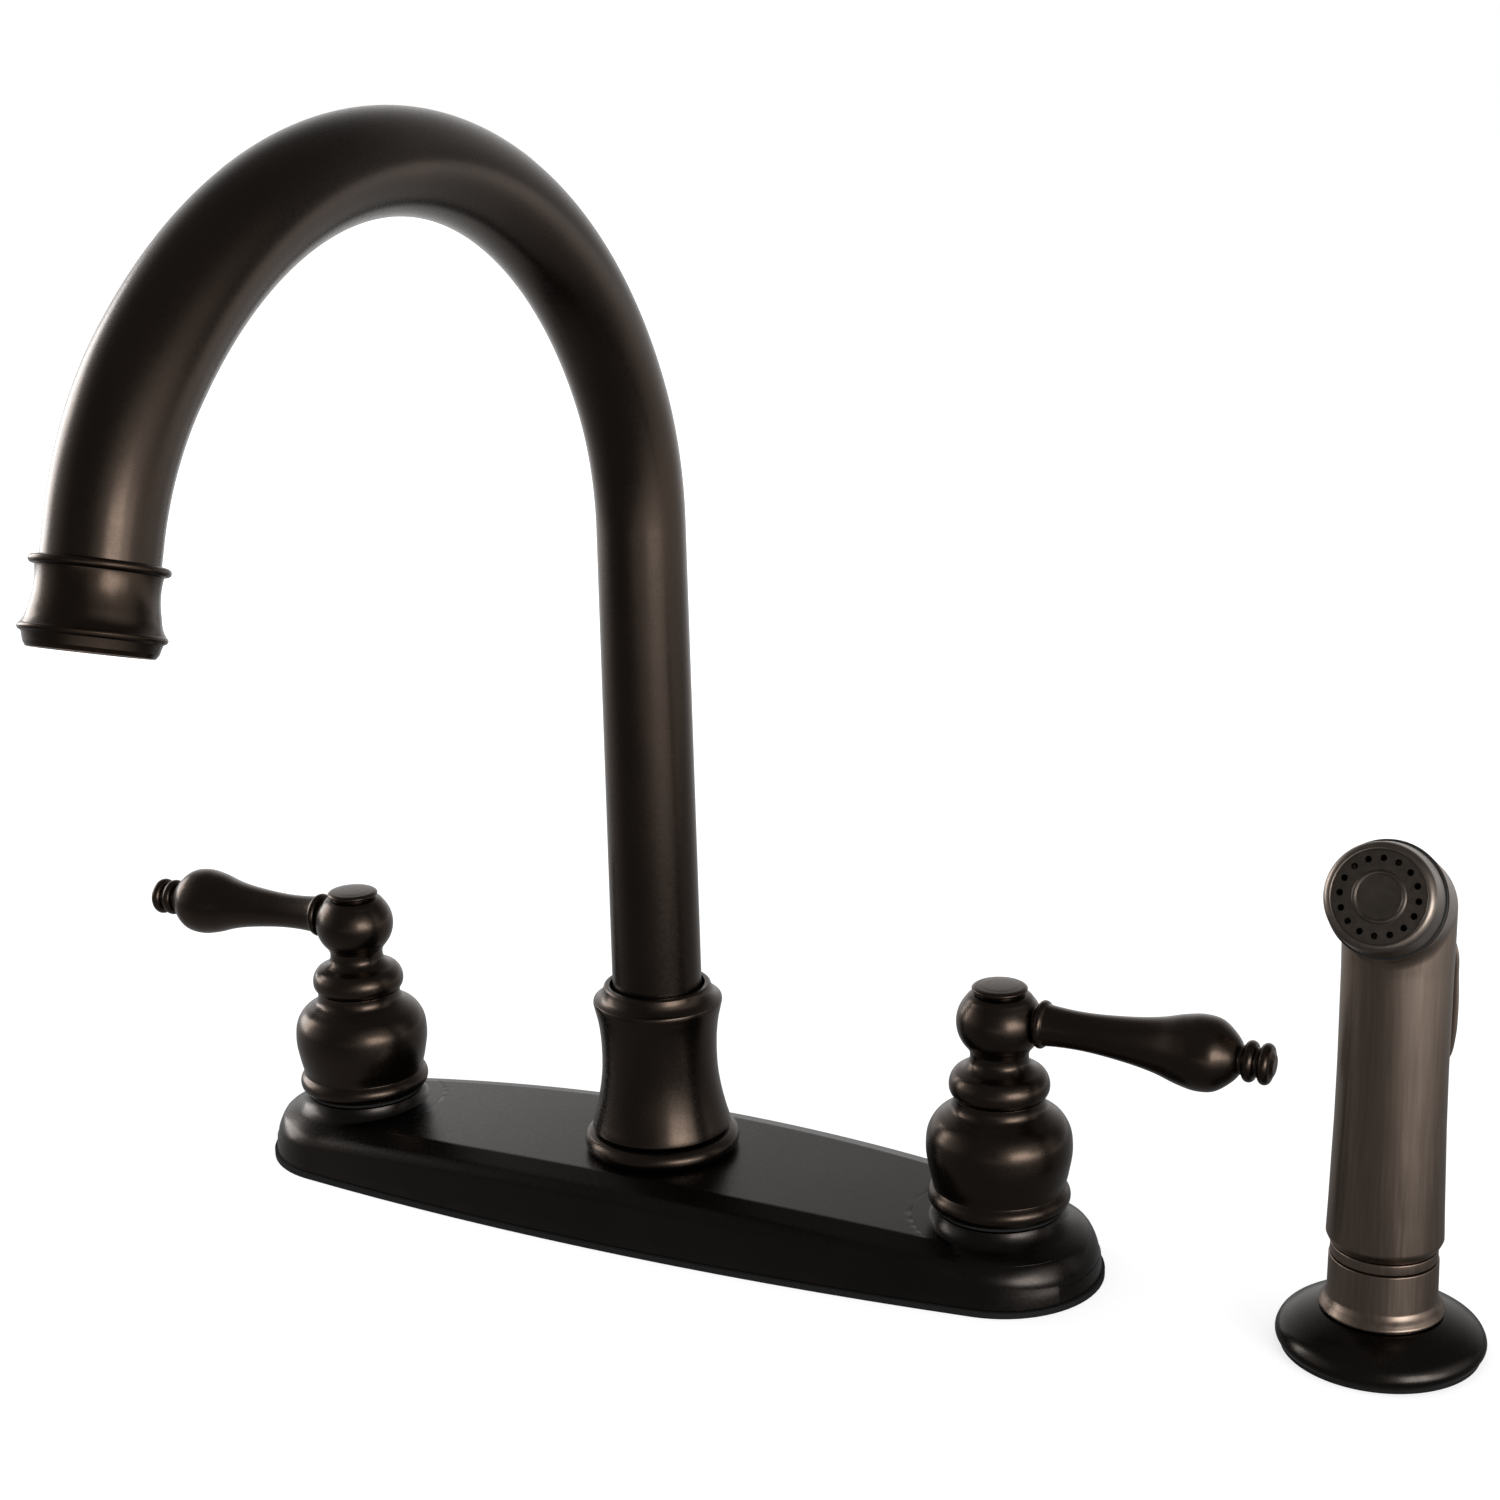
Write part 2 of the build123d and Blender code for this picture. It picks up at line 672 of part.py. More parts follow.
for side, x, outward in sides:
    droop = radians(lever_droop)
    lever_dir = (outward * cos(droop), 0, -sin(droop))
    ball = (x, 0, ball_centre)
    lever_plane = Plane(origin=ball, x_dir=lever_dir, z_dir=(0, -outward, 0))
    seat_plane = Plane(origin=ball, x_dir=(0, 1, 0), z_dir=lever_dir)
    lever_axis = Axis(ball, lever_dir)

    with BuildPart() as handle_hub:
        with BuildSketch(upright(x)):
            with BuildLine():
                Line((0, handle_foot), (handle_foot_radius, handle_foot))
                Line((handle_foot_radius, handle_foot),
                     (handle_foot_radius, handle_foot + handle_foot_height))
                Line((handle_foot_radius, handle_foot + handle_foot_height),
                     (handle_step_radius, handle_foot + handle_step_height))
                Spline(
                    (handle_step_radius, handle_foot + handle_step_height),
                    (handle_collar_radius, handle_foot + handle_collar_height),
                    (handle_shoulder_radius, handle_foot + handle_shoulder_height),
                    (handle_neck_radius, handle_foot + handle_neck_height),
                    (ball_foot_radius, handle_foot + ball_foot_height),
                    tangents=((1, 0.25), (0.55, 1)),
                )
                ThreePointArc(
                    (ball_foot_radius, handle_foot + ball_foot_height),
                    (ball_radius, ball_centre),
                    (ball_rim_radius, button_seat - ball_rim_drop),
                )
                ThreePointArc(
                    (ball_rim_radius, button_seat - ball_rim_drop),
                    ((ball_rim_radius + ball_top_radius) / 2 + ball_rim_drop / 10,
                     button_seat - ball_rim_drop / 3),
                    (ball_top_radius, button_seat),
                )
                Line((ball_top_radius, button_seat), (0, button_seat))
                Line((0, button_seat), (0, handle_foot))
            make_face()
        revolve(axis=vertical(x))
        bore(handle_foot, handle_foot + stem_square_foot, stem_radius + fit_gap, x)
        with BuildSketch(level(handle_foot, x)):
            Rectangle(stem_square + 2 * fit_gap, stem_square + 2 * fit_gap)
        extrude(amount=stem_in_handle + fit_gap, mode=Mode.SUBTRACT)
        bore(stem_top, button_seat, handle_screw_radius + body_gap, x)
        bore(web_top, button_seat, button_plug_radius + fit_gap, x)
        with BuildSketch(seat_plane.offset(lever_root)):
            Circle(lever_seat_radius + fit_gap)
        extrude(amount=lever_bead_at - lever_root, mode=Mode.SUBTRACT)
        with BuildSketch(seat_plane.offset(lever_root - lever_spigot_length - fit_gap)):
            Circle(lever_spigot_radius + fit_gap)
        extrude(amount=lever_spigot_length + fit_gap, mode=Mode.SUBTRACT)
    save(handle_hub, f"{side}_handle_hub")

    with BuildPart() as handle_screw:
        ring(web_top, handle_screw_head_height, handle_screw_head_radius, 0, x)
        ring(web_top - handle_screw_length, handle_screw_length, handle_screw_radius, 0, x)
        with BuildSketch(level(web_top + handle_screw_head_height, x)):
            Rectangle(2 * handle_screw_radius, handle_screw_slot)
            Rectangle(handle_screw_slot, 2 * handle_screw_radius)
        extrude(amount=-handle_screw_head_height / 2, mode=Mode.SUBTRACT)
    save(handle_screw, f"{side}_handle_screw")

    with BuildPart() as index_button:
        ring(button_seat - button_plug_length, button_plug_length, button_plug_radius, 0, x)
        ring(button_seat, button_groove, button_groove_radius, 0, x)
        ring(button_seat + button_groove, button_thickness, button_radius, 0, x)
        rim = index_button.edges().filter_by(GeomType.CIRCLE).group_by(Axis.Z)[-1]
        fillet(rim, button_thickness / 3)
    save(index_button, f"{side}_index_button")

    with BuildPart() as lever:
        with BuildSketch(lever_plane):
            with BuildLine():
                bead_start = lever_bead_at - lever_bead_half
                bead_end = lever_bead_at + lever_bead_half
                first = lever_end_at + finial_groove
                second = first + finial_thickness + finial_groove
                tip = second + finial_thickness
                Line((lever_root, 0), (lever_root, lever_seat_radius))
                Line((lever_root, lever_seat_radius), (bead_start, lever_seat_radius))
                Line((bead_start, lever_seat_radius), (bead_start, lever_stem_radius))
                ThreePointArc((bead_start, lever_stem_radius), (lever_bead_at, lever_bead_radius),
                              (bead_end, lever_stem_radius))
                Spline(
                    (bead_end, lever_stem_radius),
                    (lever_neck_at, lever_neck_radius),
                    (lever_swell_at, lever_swell_radius),
                    (lever_bulb_at, lever_bulb_radius),
                    (lever_cheek_at, lever_cheek_radius),
                    (lever_end_at, lever_end_radius),
                    tangents=((1, -0.1), (0.45, -1)),
                )
                Line((lever_end_at, lever_end_radius), (first, lever_end_radius))
                ThreePointArc((first, lever_end_radius),
                              (first + finial_thickness / 2, finial_radius),
                              (first + finial_thickness, lever_end_radius))
                Line((first + finial_thickness, lever_end_radius), (second, lever_end_radius))
                ThreePointArc((second, lever_end_radius),
                              (second + finial_thickness / 2, finial_radius),
                              (tip, lever_end_radius))
                Polyline((tip, lever_end_radius), (tip + finial_dome, 2 * lever_end_radius / 3),
                         (tip + finial_dome, 0), (lever_root, 0))
            make_face()
        revolve(axis=lever_axis)
        with BuildSketch(seat_plane.offset(lever_root - lever_spigot_length)):
            Circle(lever_spigot_radius)
        extrude(amount=lever_spigot_length)
    save(lever, f"{side}_lever")

# ---------------------------------------------------------------------------
# Centre body, diverter, base ring and collar
# ---------------------------------------------------------------------------

with BuildPart() as centre_body:
    ring(-spray_outlet_length, spray_outlet_length + gasket_thickness, spray_outlet_radius, 0)
    ring(gasket_thickness, centre_body_top - gasket_thickness, centre_body_radius, 0)
    ring(centre_body_top, centre_neck_top - centre_body_top, centre_neck_radius, 0)
    bore(-spray_outlet_length, diverter_chamber_floor, spray_outlet_bore)
    bore(diverter_chamber_floor, spigot_foot, diverter_chamber_radius)
    bore(spigot_foot - spigot_foot_gap, centre_neck_top, spigot_radius + fit_gap)
    for side, x, outward in sides:
        with BuildSketch(Plane(origin=(outward * (crossover_start - fit_gap), 0,
                                       crossover_height),
                               x_dir=(0, 1, 0), z_dir=(outward, 0, 0))):
            Circle(crossover_radius + fit_gap)
        extrude(amount=centre_body_radius, mode=Mode.SUBTRACT)
        with BuildSketch(Plane(origin=(0, 0, crossover_height), x_dir=(0, 1, 0),
                               z_dir=(outward, 0, 0))):
            Circle(crossover_bore)
        extrude(amount=crossover_start, mode=Mode.SUBTRACT)
save(centre_body, "centre_body")

seat_top = spigot_foot - spigot_foot_gap
poppet_top = seat_top - diverter_seat_height - poppet_travel
poppet_foot = poppet_top - poppet_thickness

with BuildPart() as diverter_seat:
    ring(seat_top - diverter_seat_height, diverter_seat_height,
         diverter_chamber_radius - fit_gap, diverter_seat_bore)
save(diverter_seat, "diverter_seat")

with BuildPart() as diverter_poppet:
    ring(poppet_foot, poppet_thickness, poppet_radius, 0)
    ring(poppet_top, poppet_stem_length, poppet_stem_radius, 0)
save(diverter_poppet, "diverter_poppet")

with BuildPart() as diverter_spring:
    ring(diverter_chamber_floor, poppet_foot - diverter_chamber_floor, diverter_spring_radius,
         diverter_spring_radius - diverter_spring_wall)
save(diverter_spring, "diverter_spring")

with BuildPart() as spout_base_ring:
    with BuildSketch(upright(0)):
        with BuildLine():
            inner = centre_neck_radius + fit_gap
            ring_top = plate_crown_mid + base_ring_height
            Line((inner, plate_crown_mid), (base_ring_foot_radius, plate_crown_mid))
            ThreePointArc(
                (base_ring_foot_radius, plate_crown_mid),
                (base_ring_radius, plate_crown_mid + base_ring_bulge_height),
                (base_ring_top_radius, ring_top),
            )
            Line((base_ring_top_radius, ring_top), (inner, ring_top))
            Line((inner, ring_top), (inner, plate_crown_mid))
        make_face()
    revolve(axis=vertical(0))
save(spout_base_ring, "spout_base_ring")

with BuildPart() as spout_collar:
    with BuildSketch(upright(0)):
        with BuildLine():
            lip_top = collar_foot + collar_height
            shoulder = collar_foot + collar_shoulder_height
            Line((inner, collar_foot), (collar_foot_radius, collar_foot))
            Spline(
                (collar_foot_radius, collar_foot),
                (collar_flare_radius, collar_foot + collar_flare_height),
                (collar_lower_radius, collar_foot + collar_lower_height),
                (collar_waist_radius, collar_foot + collar_waist_height),
                (collar_shoulder_radius, shoulder),
                tangents=((-0.05, 1), (0.2, 1)),
            )
            Spline(
                (collar_shoulder_radius, shoulder),
                (collar_ring_radius, collar_foot + collar_ring_height),
                (collar_neck_radius, lip_top - collar_lip_height),
                tangents=((0.4, 0.6), (-1, 0.35)),
            )
            Line((collar_neck_radius, lip_top - collar_lip_height), (collar_lip_radius, lip_top))
            Line((collar_lip_radius, lip_top), (collar_mouth_radius, lip_top))
            Line((collar_mouth_radius, lip_top), (collar_mouth_radius, collar_throat))
            Line((collar_mouth_radius, collar_throat), (inner, collar_throat))
            Line((inner, collar_throat), (inner, collar_foot))
        make_face()
    revolve(axis=vertical(0))
save(spout_collar, "spout_collar")

# ---------------------------------------------------------------------------
# Swivelling spout: spigot, seals, retainer and tube
# ---------------------------------------------------------------------------

o_ring_pitch_radius = spigot_radius + fit_gap / 2 - o_ring_section / 2

with BuildPart() as spout_spigot:
    ring(spigot_foot, spigot_depth, spigot_radius, 0)
    ring(spout_seat, spigot_flange_height, spigot_flange_radius, 0)
    ring(tube_foot, spigot_plug_length, tube_foot_radius - tube_wall - fit_gap, 0)
    bore(spigot_foot, tube_foot + spigot_plug_length, spigot_bore)
    for height in o_ring_heights:
        with BuildSketch(level(spigot_foot + height - o_ring_section / 2 - fit_gap)):
            Circle(spigot_radius)
            Circle(o_ring_pitch_radius - o_ring_section / 2 - fit_gap, mode=Mode.SUBTRACT)
        extrude(amount=o_ring_section + 2 * fit_gap, mode=Mode.SUBTRACT)
save(spout_spigot, "spout_spigot")

with BuildPart() as spout_o_rings:
    for height in o_ring_heights:
        with BuildSketch(upright(0)):
            with Locations((o_ring_pitch_radius, spigot_foot + height)):
                Circle(o_ring_section / 2)
        revolve(axis=vertical(0))
save(spout_o_rings, "spout_o_rings")

with BuildPart() as spout_retainer:
    ring(collar_throat - body_gap - retainer_height, retainer_height,
         centre_neck_radius + fit_gap - body_gap, tube_foot_radius + fit_gap)
save(spout_retainer, "spout_retainer")

forward = Plane(origin=(0, 0, 0), x_dir=(0, -1, 0), z_dir=(-1, 0, 0))
with BuildLine(forward) as arch:
    rise_bend = JernArc((0, riser_top), (0, 1), rise_bend_radius, -rise_bend_angle)
    JernArc(rise_bend @ 1, rise_bend % 1, arch_bend_radius, -arch_bend_angle)
arch_path = arch.line
with BuildLine(forward) as drop:
    JernArc(arch_path @ 1, arch_path % 1, drop_radius, -drop_angle)
drop_path = drop.line
outlet_dir = drop_path % 1
tube_end = drop_path @ 1 + outlet_dir * outlet_length


def across(point, direction):
    """Plane square to a direction, with its local x along the global X."""
    return Plane(origin=point, x_dir=(1, 0, 0), z_dir=direction)


def spout_solid(wall):
    """The spout as a solid rod, made thinner by a wall."""
    with BuildPart() as rod:
        with BuildSketch(upright(0)) as riser:
            with BuildLine():
                Polyline(
                    (0, tube_foot),
                    (tube_foot_radius - wall, tube_foot),
                    (tube_foot_radius - wall, tube_sleeve_top),
                    (tube_bend_radius - wall, riser_top),
                    (0, riser_top),
                    close=True,
                )
            make_face()
        revolve(riser.sketch, axis=vertical(0))
        with BuildSketch(across(arch_path @ 0, arch_path % 0)) as bend_section:
            Circle(tube_bend_radius - wall)
        sweep(bend_section.sketch, path=arch_path)
        with BuildSketch(across(drop_path @ 0, drop_path % 0)) as drop_start:
            Circle(tube_bend_radius - wall)
        with BuildSketch(across(drop_path @ 1, outlet_dir)) as drop_end:
            Circle(tube_end_radius - wall)
        sweep([drop_start.sketch, drop_end.sketch], path=drop_path, multisection=True)
        extrude(drop_end.sketch, amount=outlet_length)
    return rod.part


with BuildPart() as spout_tube:
    add(spout_solid(0))
    add(spout_solid(tube_wall), mode=Mode.SUBTRACT)
save(spout_tube, "spout_tube")

# ---------------------------------------------------------------------------
# Aerator housing and insert, along the outlet of the spout
# ---------------------------------------------------------------------------

outlet_axis = Axis(tube_end, outlet_dir)
outlet_section = Plane(origin=tube_end, x_dir=(1, 0, 0), z_dir=Vector(1, 0, 0).cross(outlet_dir))
outlet_plane = across(tube_end, outlet_dir)
plug_radius = tube_end_radius - tube_wall - fit_gap

with BuildPart() as aerator_housing:
    with BuildSketch(outlet_section):
        with BuildLine():
            upper_start = upper_bead_at - bead_half_thickness
            upper_end = upper_bead_at + bead_half_thickness
            lower_start = lower_bead_at - bead_half_thickness
            lower_end = lower_bead_at + bead_half_thickness
            Polyline(
                (plug_radius - housing_plug_wall, -housing_plug_length),
                (plug_radius, -housing_plug_length),
                (plug_radius, 0),
                (housing_step_radius, 0),
                (housing_step_radius, upper_start),
            )
            ThreePointArc((housing_step_radius, upper_start), (upper_bead_radius, upper_bead_at),
                          (housing_step_radius, upper_end))
            Spline(
                (housing_step_radius, upper_end),
                (housing_waist_radius, housing_waist_at),
                (housing_flare_radius, lower_start),
                tangents=((-0.2, 1), (0.45, 1)),
            )
            ThreePointArc((housing_flare_radius, lower_start), (lower_bead_radius, lower_bead_at),
                          (housing_flare_radius, lower_end))
            Polyline(
                (housing_flare_radius, lower_end),
                (lip_radius, lip_at),
                (mouth_radius, mouth_at),
                (housing_bore_radius, mouth_at),
                (housing_bore_radius, housing_bore_at),
                (plug_radius - housing_plug_wall, housing_bore_at),
                (plug_radius - housing_plug_wall, -housing_plug_length),
            )
        make_face()
    revolve(axis=outlet_axis)
save(aerator_housing, "aerator_housing")

insert_top = housing_bore_at + aerator_washer_thickness
insert_face = mouth_at - aerator_recess

with BuildPart() as aerator_washer:
    with BuildSketch(outlet_plane.offset(housing_bore_at)):
        Circle(housing_bore_radius - fit_gap)
        Circle(aerator_washer_bore, mode=Mode.SUBTRACT)
    extrude(amount=aerator_washer_thickness)
save(aerator_washer, "aerator_washer")

with BuildPart() as aerator_insert:
    with BuildSketch(outlet_plane.offset(insert_top)):
        Circle(housing_bore_radius - fit_gap)
    extrude(amount=insert_face - insert_top)
    with BuildSketch(outlet_plane.offset(insert_top)):
        Circle(housing_bore_radius - fit_gap - aerator_rim)
    extrude(amount=insert_face - insert_top - aerator_face, mode=Mode.SUBTRACT)
    with BuildSketch(outlet_plane.offset(insert_face)):
        Circle(aerator_hole_radius)
        for turn in range(1, aerator_hole_rings + 1):
            with PolarLocations(turn * aerator_hole_spacing, 6 * turn):
                Circle(aerator_hole_radius)
    extrude(amount=-2 * aerator_face, mode=Mode.SUBTRACT)
save(aerator_insert, "aerator_insert")

# ---------------------------------------------------------------------------
# Hand spray holder
# ---------------------------------------------------------------------------

holder_hole = holder_shank_radius + fit_gap

with BuildPart() as holder_gasket:
    ring(0, holder_gasket_thickness, holder_base_foot_radius, holder_hole, spray_x)
save(holder_gasket, "holder_gasket")

with BuildPart() as holder_base:
    with BuildSketch(upright(spray_x)):
        with BuildLine():
            Line((holder_hole, holder_gasket_thickness),
                 (holder_base_foot_radius, holder_gasket_thickness))
            Spline(
                (holder_base_foot_radius, holder_gasket_thickness),
                (holder_base_radius, holder_base_widest),
                (holder_base_shoulder_radius, holder_base_shoulder_height),
                (holder_foot_radius, holder_base_height),
                tangents=((0.8, 1), (-1, 0.1)),
            )
            Line((holder_foot_radius, holder_base_height), (holder_hole, holder_base_height))
            Line((holder_hole, holder_base_height), (holder_hole, holder_gasket_thickness))
        make_face()
    revolve(axis=vertical(spray_x))
save(holder_base, "holder_base")

with BuildPart() as spray_holder:
    ring(-holder_shank_length, holder_shank_length + holder_base_height, holder_shank_radius, 0,
         spray_x)
    ring(holder_base_height, holder_foot_height, holder_foot_radius, 0, spray_x)
    ring(holder_base_height, holder_sleeve_top - holder_base_height, holder_sleeve_radius, 0,
         spray_x)
    bore(-holder_shank_length, holder_sleeve_top, holder_bore, spray_x)
save(spray_holder, "spray_holder")

with BuildPart() as holder_washer:
    ring(-deck_thickness - washer_thickness, washer_thickness, holder_washer_radius, holder_hole,
         spray_x)
save(holder_washer, "holder_washer")

with BuildPart() as holder_nut:
    with BuildSketch(level(-deck_thickness - washer_thickness - holder_nut_thickness, spray_x)):
        RegularPolygon(holder_nut_radius, 6)
        Circle(holder_hole, mode=Mode.SUBTRACT)
    extrude(amount=holder_nut_thickness)
save(holder_nut, "holder_nut")

# ---------------------------------------------------------------------------
# Hand spray: coupling, grip, head and valve
# ---------------------------------------------------------------------------

coupling_foot = holder_sleeve_top + body_gap
spigot_end = coupling_top + coupling_spigot_length
small_ring_pitch = coupling_spigot_radius + fit_gap / 2 - o_ring_section / 2
small_ring_height = coupling_top + coupling_o_ring_height

with BuildPart() as spray_coupling:
    with BuildSketch(upright(spray_x)):
        with BuildLine():
            Polyline(
                (coupling_bore, coupling_foot - coupling_tail_length),
                (coupling_tail_radius, coupling_foot - coupling_tail_length),
                (holder_bore - body_gap, coupling_foot),
                (coupling_ring_radius, coupling_foot),
                (coupling_ring_radius, coupling_top),
                (coupling_spigot_radius, coupling_top),
                (coupling_spigot_radius, spigot_end),
                (coupling_bore, spigot_end),
                close=True,
            )
        make_face()
    revolve(axis=vertical(spray_x))
    with BuildSketch(level(small_ring_height - o_ring_section / 2 - fit_gap, spray_x)):
        Circle(coupling_spigot_radius)
        Circle(small_ring_pitch - o_ring_section / 2 - fit_gap, mode=Mode.SUBTRACT)
    extrude(amount=o_ring_section + 2 * fit_gap, mode=Mode.SUBTRACT)
save(spray_coupling, "spray_coupling")

with BuildPart() as coupling_o_ring:
    with BuildSketch(upright(spray_x)):
        with Locations((small_ring_pitch, small_ring_height)):
            Circle(o_ring_section / 2)
    revolve(axis=vertical(spray_x))
save(coupling_o_ring, "coupling_o_ring")

elbow = Vector(spray_x, 0, elbow_height)
head_dir = Vector(0, -cos(radians(head_tilt)), sin(radians(head_tilt)))
head_axis = Axis(elbow, head_dir)
head_section = Plane(origin=elbow, x_dir=(1, 0, 0), z_dir=Vector(1, 0, 0).cross(head_dir))
head_plane = across(elbow, head_dir)
lug_dir = Vector(0, cos(radians(lug_angle)), -sin(radians(lug_angle)))
lug_inner = thumb_barrel_half + body_gap
valve_plane = Plane(origin=(spray_x, 0, plunger_height), x_dir=(1, 0, 0), z_dir=(0, 1, 0))
plate_seat = plate_back - seam_at

with BuildPart() as spray_grip:
    with BuildSketch(upright(spray_x)):
        with BuildLine():
            chamfer_top = grip_foot + grip_foot_chamfer
            ball_start = elbow_height - sqrt(elbow_radius**2 - grip_upper_radius**2)
            Line((0, grip_foot), (grip_foot_radius, grip_foot))
            Line((grip_foot_radius, grip_foot), (grip_lower_radius, chamfer_top))
            Spline(
                (grip_lower_radius, chamfer_top),
                (grip_waist_radius, grip_waist_height),
                (grip_upper_radius, grip_upper_height),
                tangents=((0.03, 1), (0, 1)),
            )
            Line((grip_upper_radius, grip_upper_height), (grip_upper_radius, ball_start))
            ThreePointArc(
                (grip_upper_radius, ball_start),
                (elbow_radius * cos(radians(45)), elbow_height + elbow_radius * sin(radians(45))),
                (0, elbow_height + elbow_radius),
            )
            Line((0, elbow_height + elbow_radius), (0, grip_foot))
        make_face()
    revolve(axis=vertical(spray_x))
    with BuildSketch(head_section):
        with BuildLine():
            Polyline((0, 0), (elbow_radius, 0), (head_body_radius, seam_at), (0, seam_at), close=True)
        make_face()
    revolve(axis=head_axis)
    with BuildSketch(head_plane):
        Circle(nose_radius)
    extrude(amount=plate_back - fit_gap)
    for outward in (-1, 1):
        with BuildSketch(Plane(origin=(spray_x + outward * lug_inner, 0, elbow_height),
                               x_dir=lug_dir, z_dir=(outward, 0, 0))):
            with Locations((pin_at, 0)):
                Circle(lug_radius)
            with Locations(((lug_root + pin_at) / 2, 0)):
                Rectangle(pin_at - lug_root, 2 * lug_radius)
        extrude(amount=lug_thickness)
    with BuildSketch(Plane(origin=(spray_x, pin_y, pin_z), x_dir=(0, 1, 0), z_dir=(1, 0, 0))):
        Circle(pin_radius + fit_gap)
    extrude(amount=lug_inner + lug_thickness, both=True, mode=Mode.SUBTRACT)
    bore(grip_foot, spigot_end + body_gap, coupling_spigot_radius + fit_gap, spray_x)
    bore(spigot_end, elbow_height, grip_passage_radius, spray_x)
    with BuildSketch(head_plane):
        Circle(grip_passage_radius)
    extrude(amount=seam_at, mode=Mode.SUBTRACT)
    with BuildSketch(head_plane.offset(seam_at - diffuser_depth)):
        Circle(diffuser_radius)
    extrude(amount=diffuser_depth + plate_seat, mode=Mode.SUBTRACT)
    with BuildSketch(valve_plane.offset(-valve_chamber_depth)):
        Circle(valve_chamber_radius)
    extrude(amount=valve_chamber_depth + grip_lower_radius, mode=Mode.SUBTRACT)
save(spray_grip, "spray_grip")

with BuildPart() as spray_seam_ring:
    with BuildSketch(head_plane.offset(seam_at)):
        Circle(seam_radius)
        Circle(nose_radius + fit_gap, mode=Mode.SUBTRACT)
    extrude(amount=seam_thickness)
save(spray_seam_ring, "spray_seam_ring")

with BuildPart() as spray_bezel:
    with BuildSketch(head_section):
        with BuildLine():
            bezel_back = seam_at + seam_thickness
            lip = face_radius - face_lip
            Polyline(
                (nose_radius + fit_gap, bezel_back),
                (bezel_seam_radius - bezel_chamfer / 2, bezel_back),
                (bezel_seam_radius, bezel_back + bezel_chamfer),
                (bezel_face_radius + bezel_chamfer / 2, face_at - bezel_chamfer),
                (bezel_face_radius - bezel_chamfer / 2, face_at),
                (lip, face_at),
                (lip, face_at - face_recess),
                (nose_radius + fit_gap, face_at - face_recess),
                close=True,
            )
        make_face()
    revolve(axis=head_axis)
save(spray_bezel, "spray_bezel")

with BuildPart() as spray_face:
    with BuildSketch(head_plane.offset(plate_back)):
        Circle(face_radius)
    extrude(amount=face_thickness)
    with BuildSketch(head_plane.offset(face_at - face_recess)):
        Circle(face_disc_radius)
    extrude(amount=face_disc_height)
    with BuildSketch(head_plane.offset(face_at)):
        with PolarLocations(face_hole_ring_radius, face_hole_count):
            Circle(face_hole_radius)
    extrude(amount=-2 * face_thickness, mode=Mode.SUBTRACT)
save(spray_face, "spray_face")

with BuildPart() as thumb_pin:
    with BuildSketch(Plane(origin=(spray_x, pin_y, pin_z), x_dir=(0, 1, 0), z_dir=(1, 0, 0))):
        Circle(pin_radius)
    extrude(amount=lug_inner + lug_thickness, both=True)
save(thumb_pin, "thumb_pin")

plunger_end = thumb_mid_back - thumb_thickness / 2 - 3 * body_gap

with BuildPart() as spray_plunger:
    with BuildSketch(valve_plane.offset(-plunger_reach)):
        Circle(plunger_head_radius)
    extrude(amount=plunger_head_length)
    with BuildSketch(valve_plane.offset(-plunger_reach)):
        Circle(plunger_radius)
    extrude(amount=plunger_reach + plunger_end)
save(spray_plunger, "spray_plunger")

with BuildPart() as plunger_gland:
    with BuildSketch(valve_plane.offset(gland_inner)):
        Circle(valve_chamber_radius - fit_gap)
        Circle(plunger_radius + fit_gap, mode=Mode.SUBTRACT)
    extrude(amount=gland_outer - gland_inner)
save(plunger_gland, "plunger_gland")

with BuildPart() as plunger_spring:
    with BuildSketch(valve_plane.offset(-valve_chamber_depth)):
        Circle(valve_spring_radius)
        Circle(valve_spring_radius - valve_spring_wall, mode=Mode.SUBTRACT)
    extrude(amount=valve_chamber_depth - plunger_reach)
save(plunger_spring, "plunger_spring")

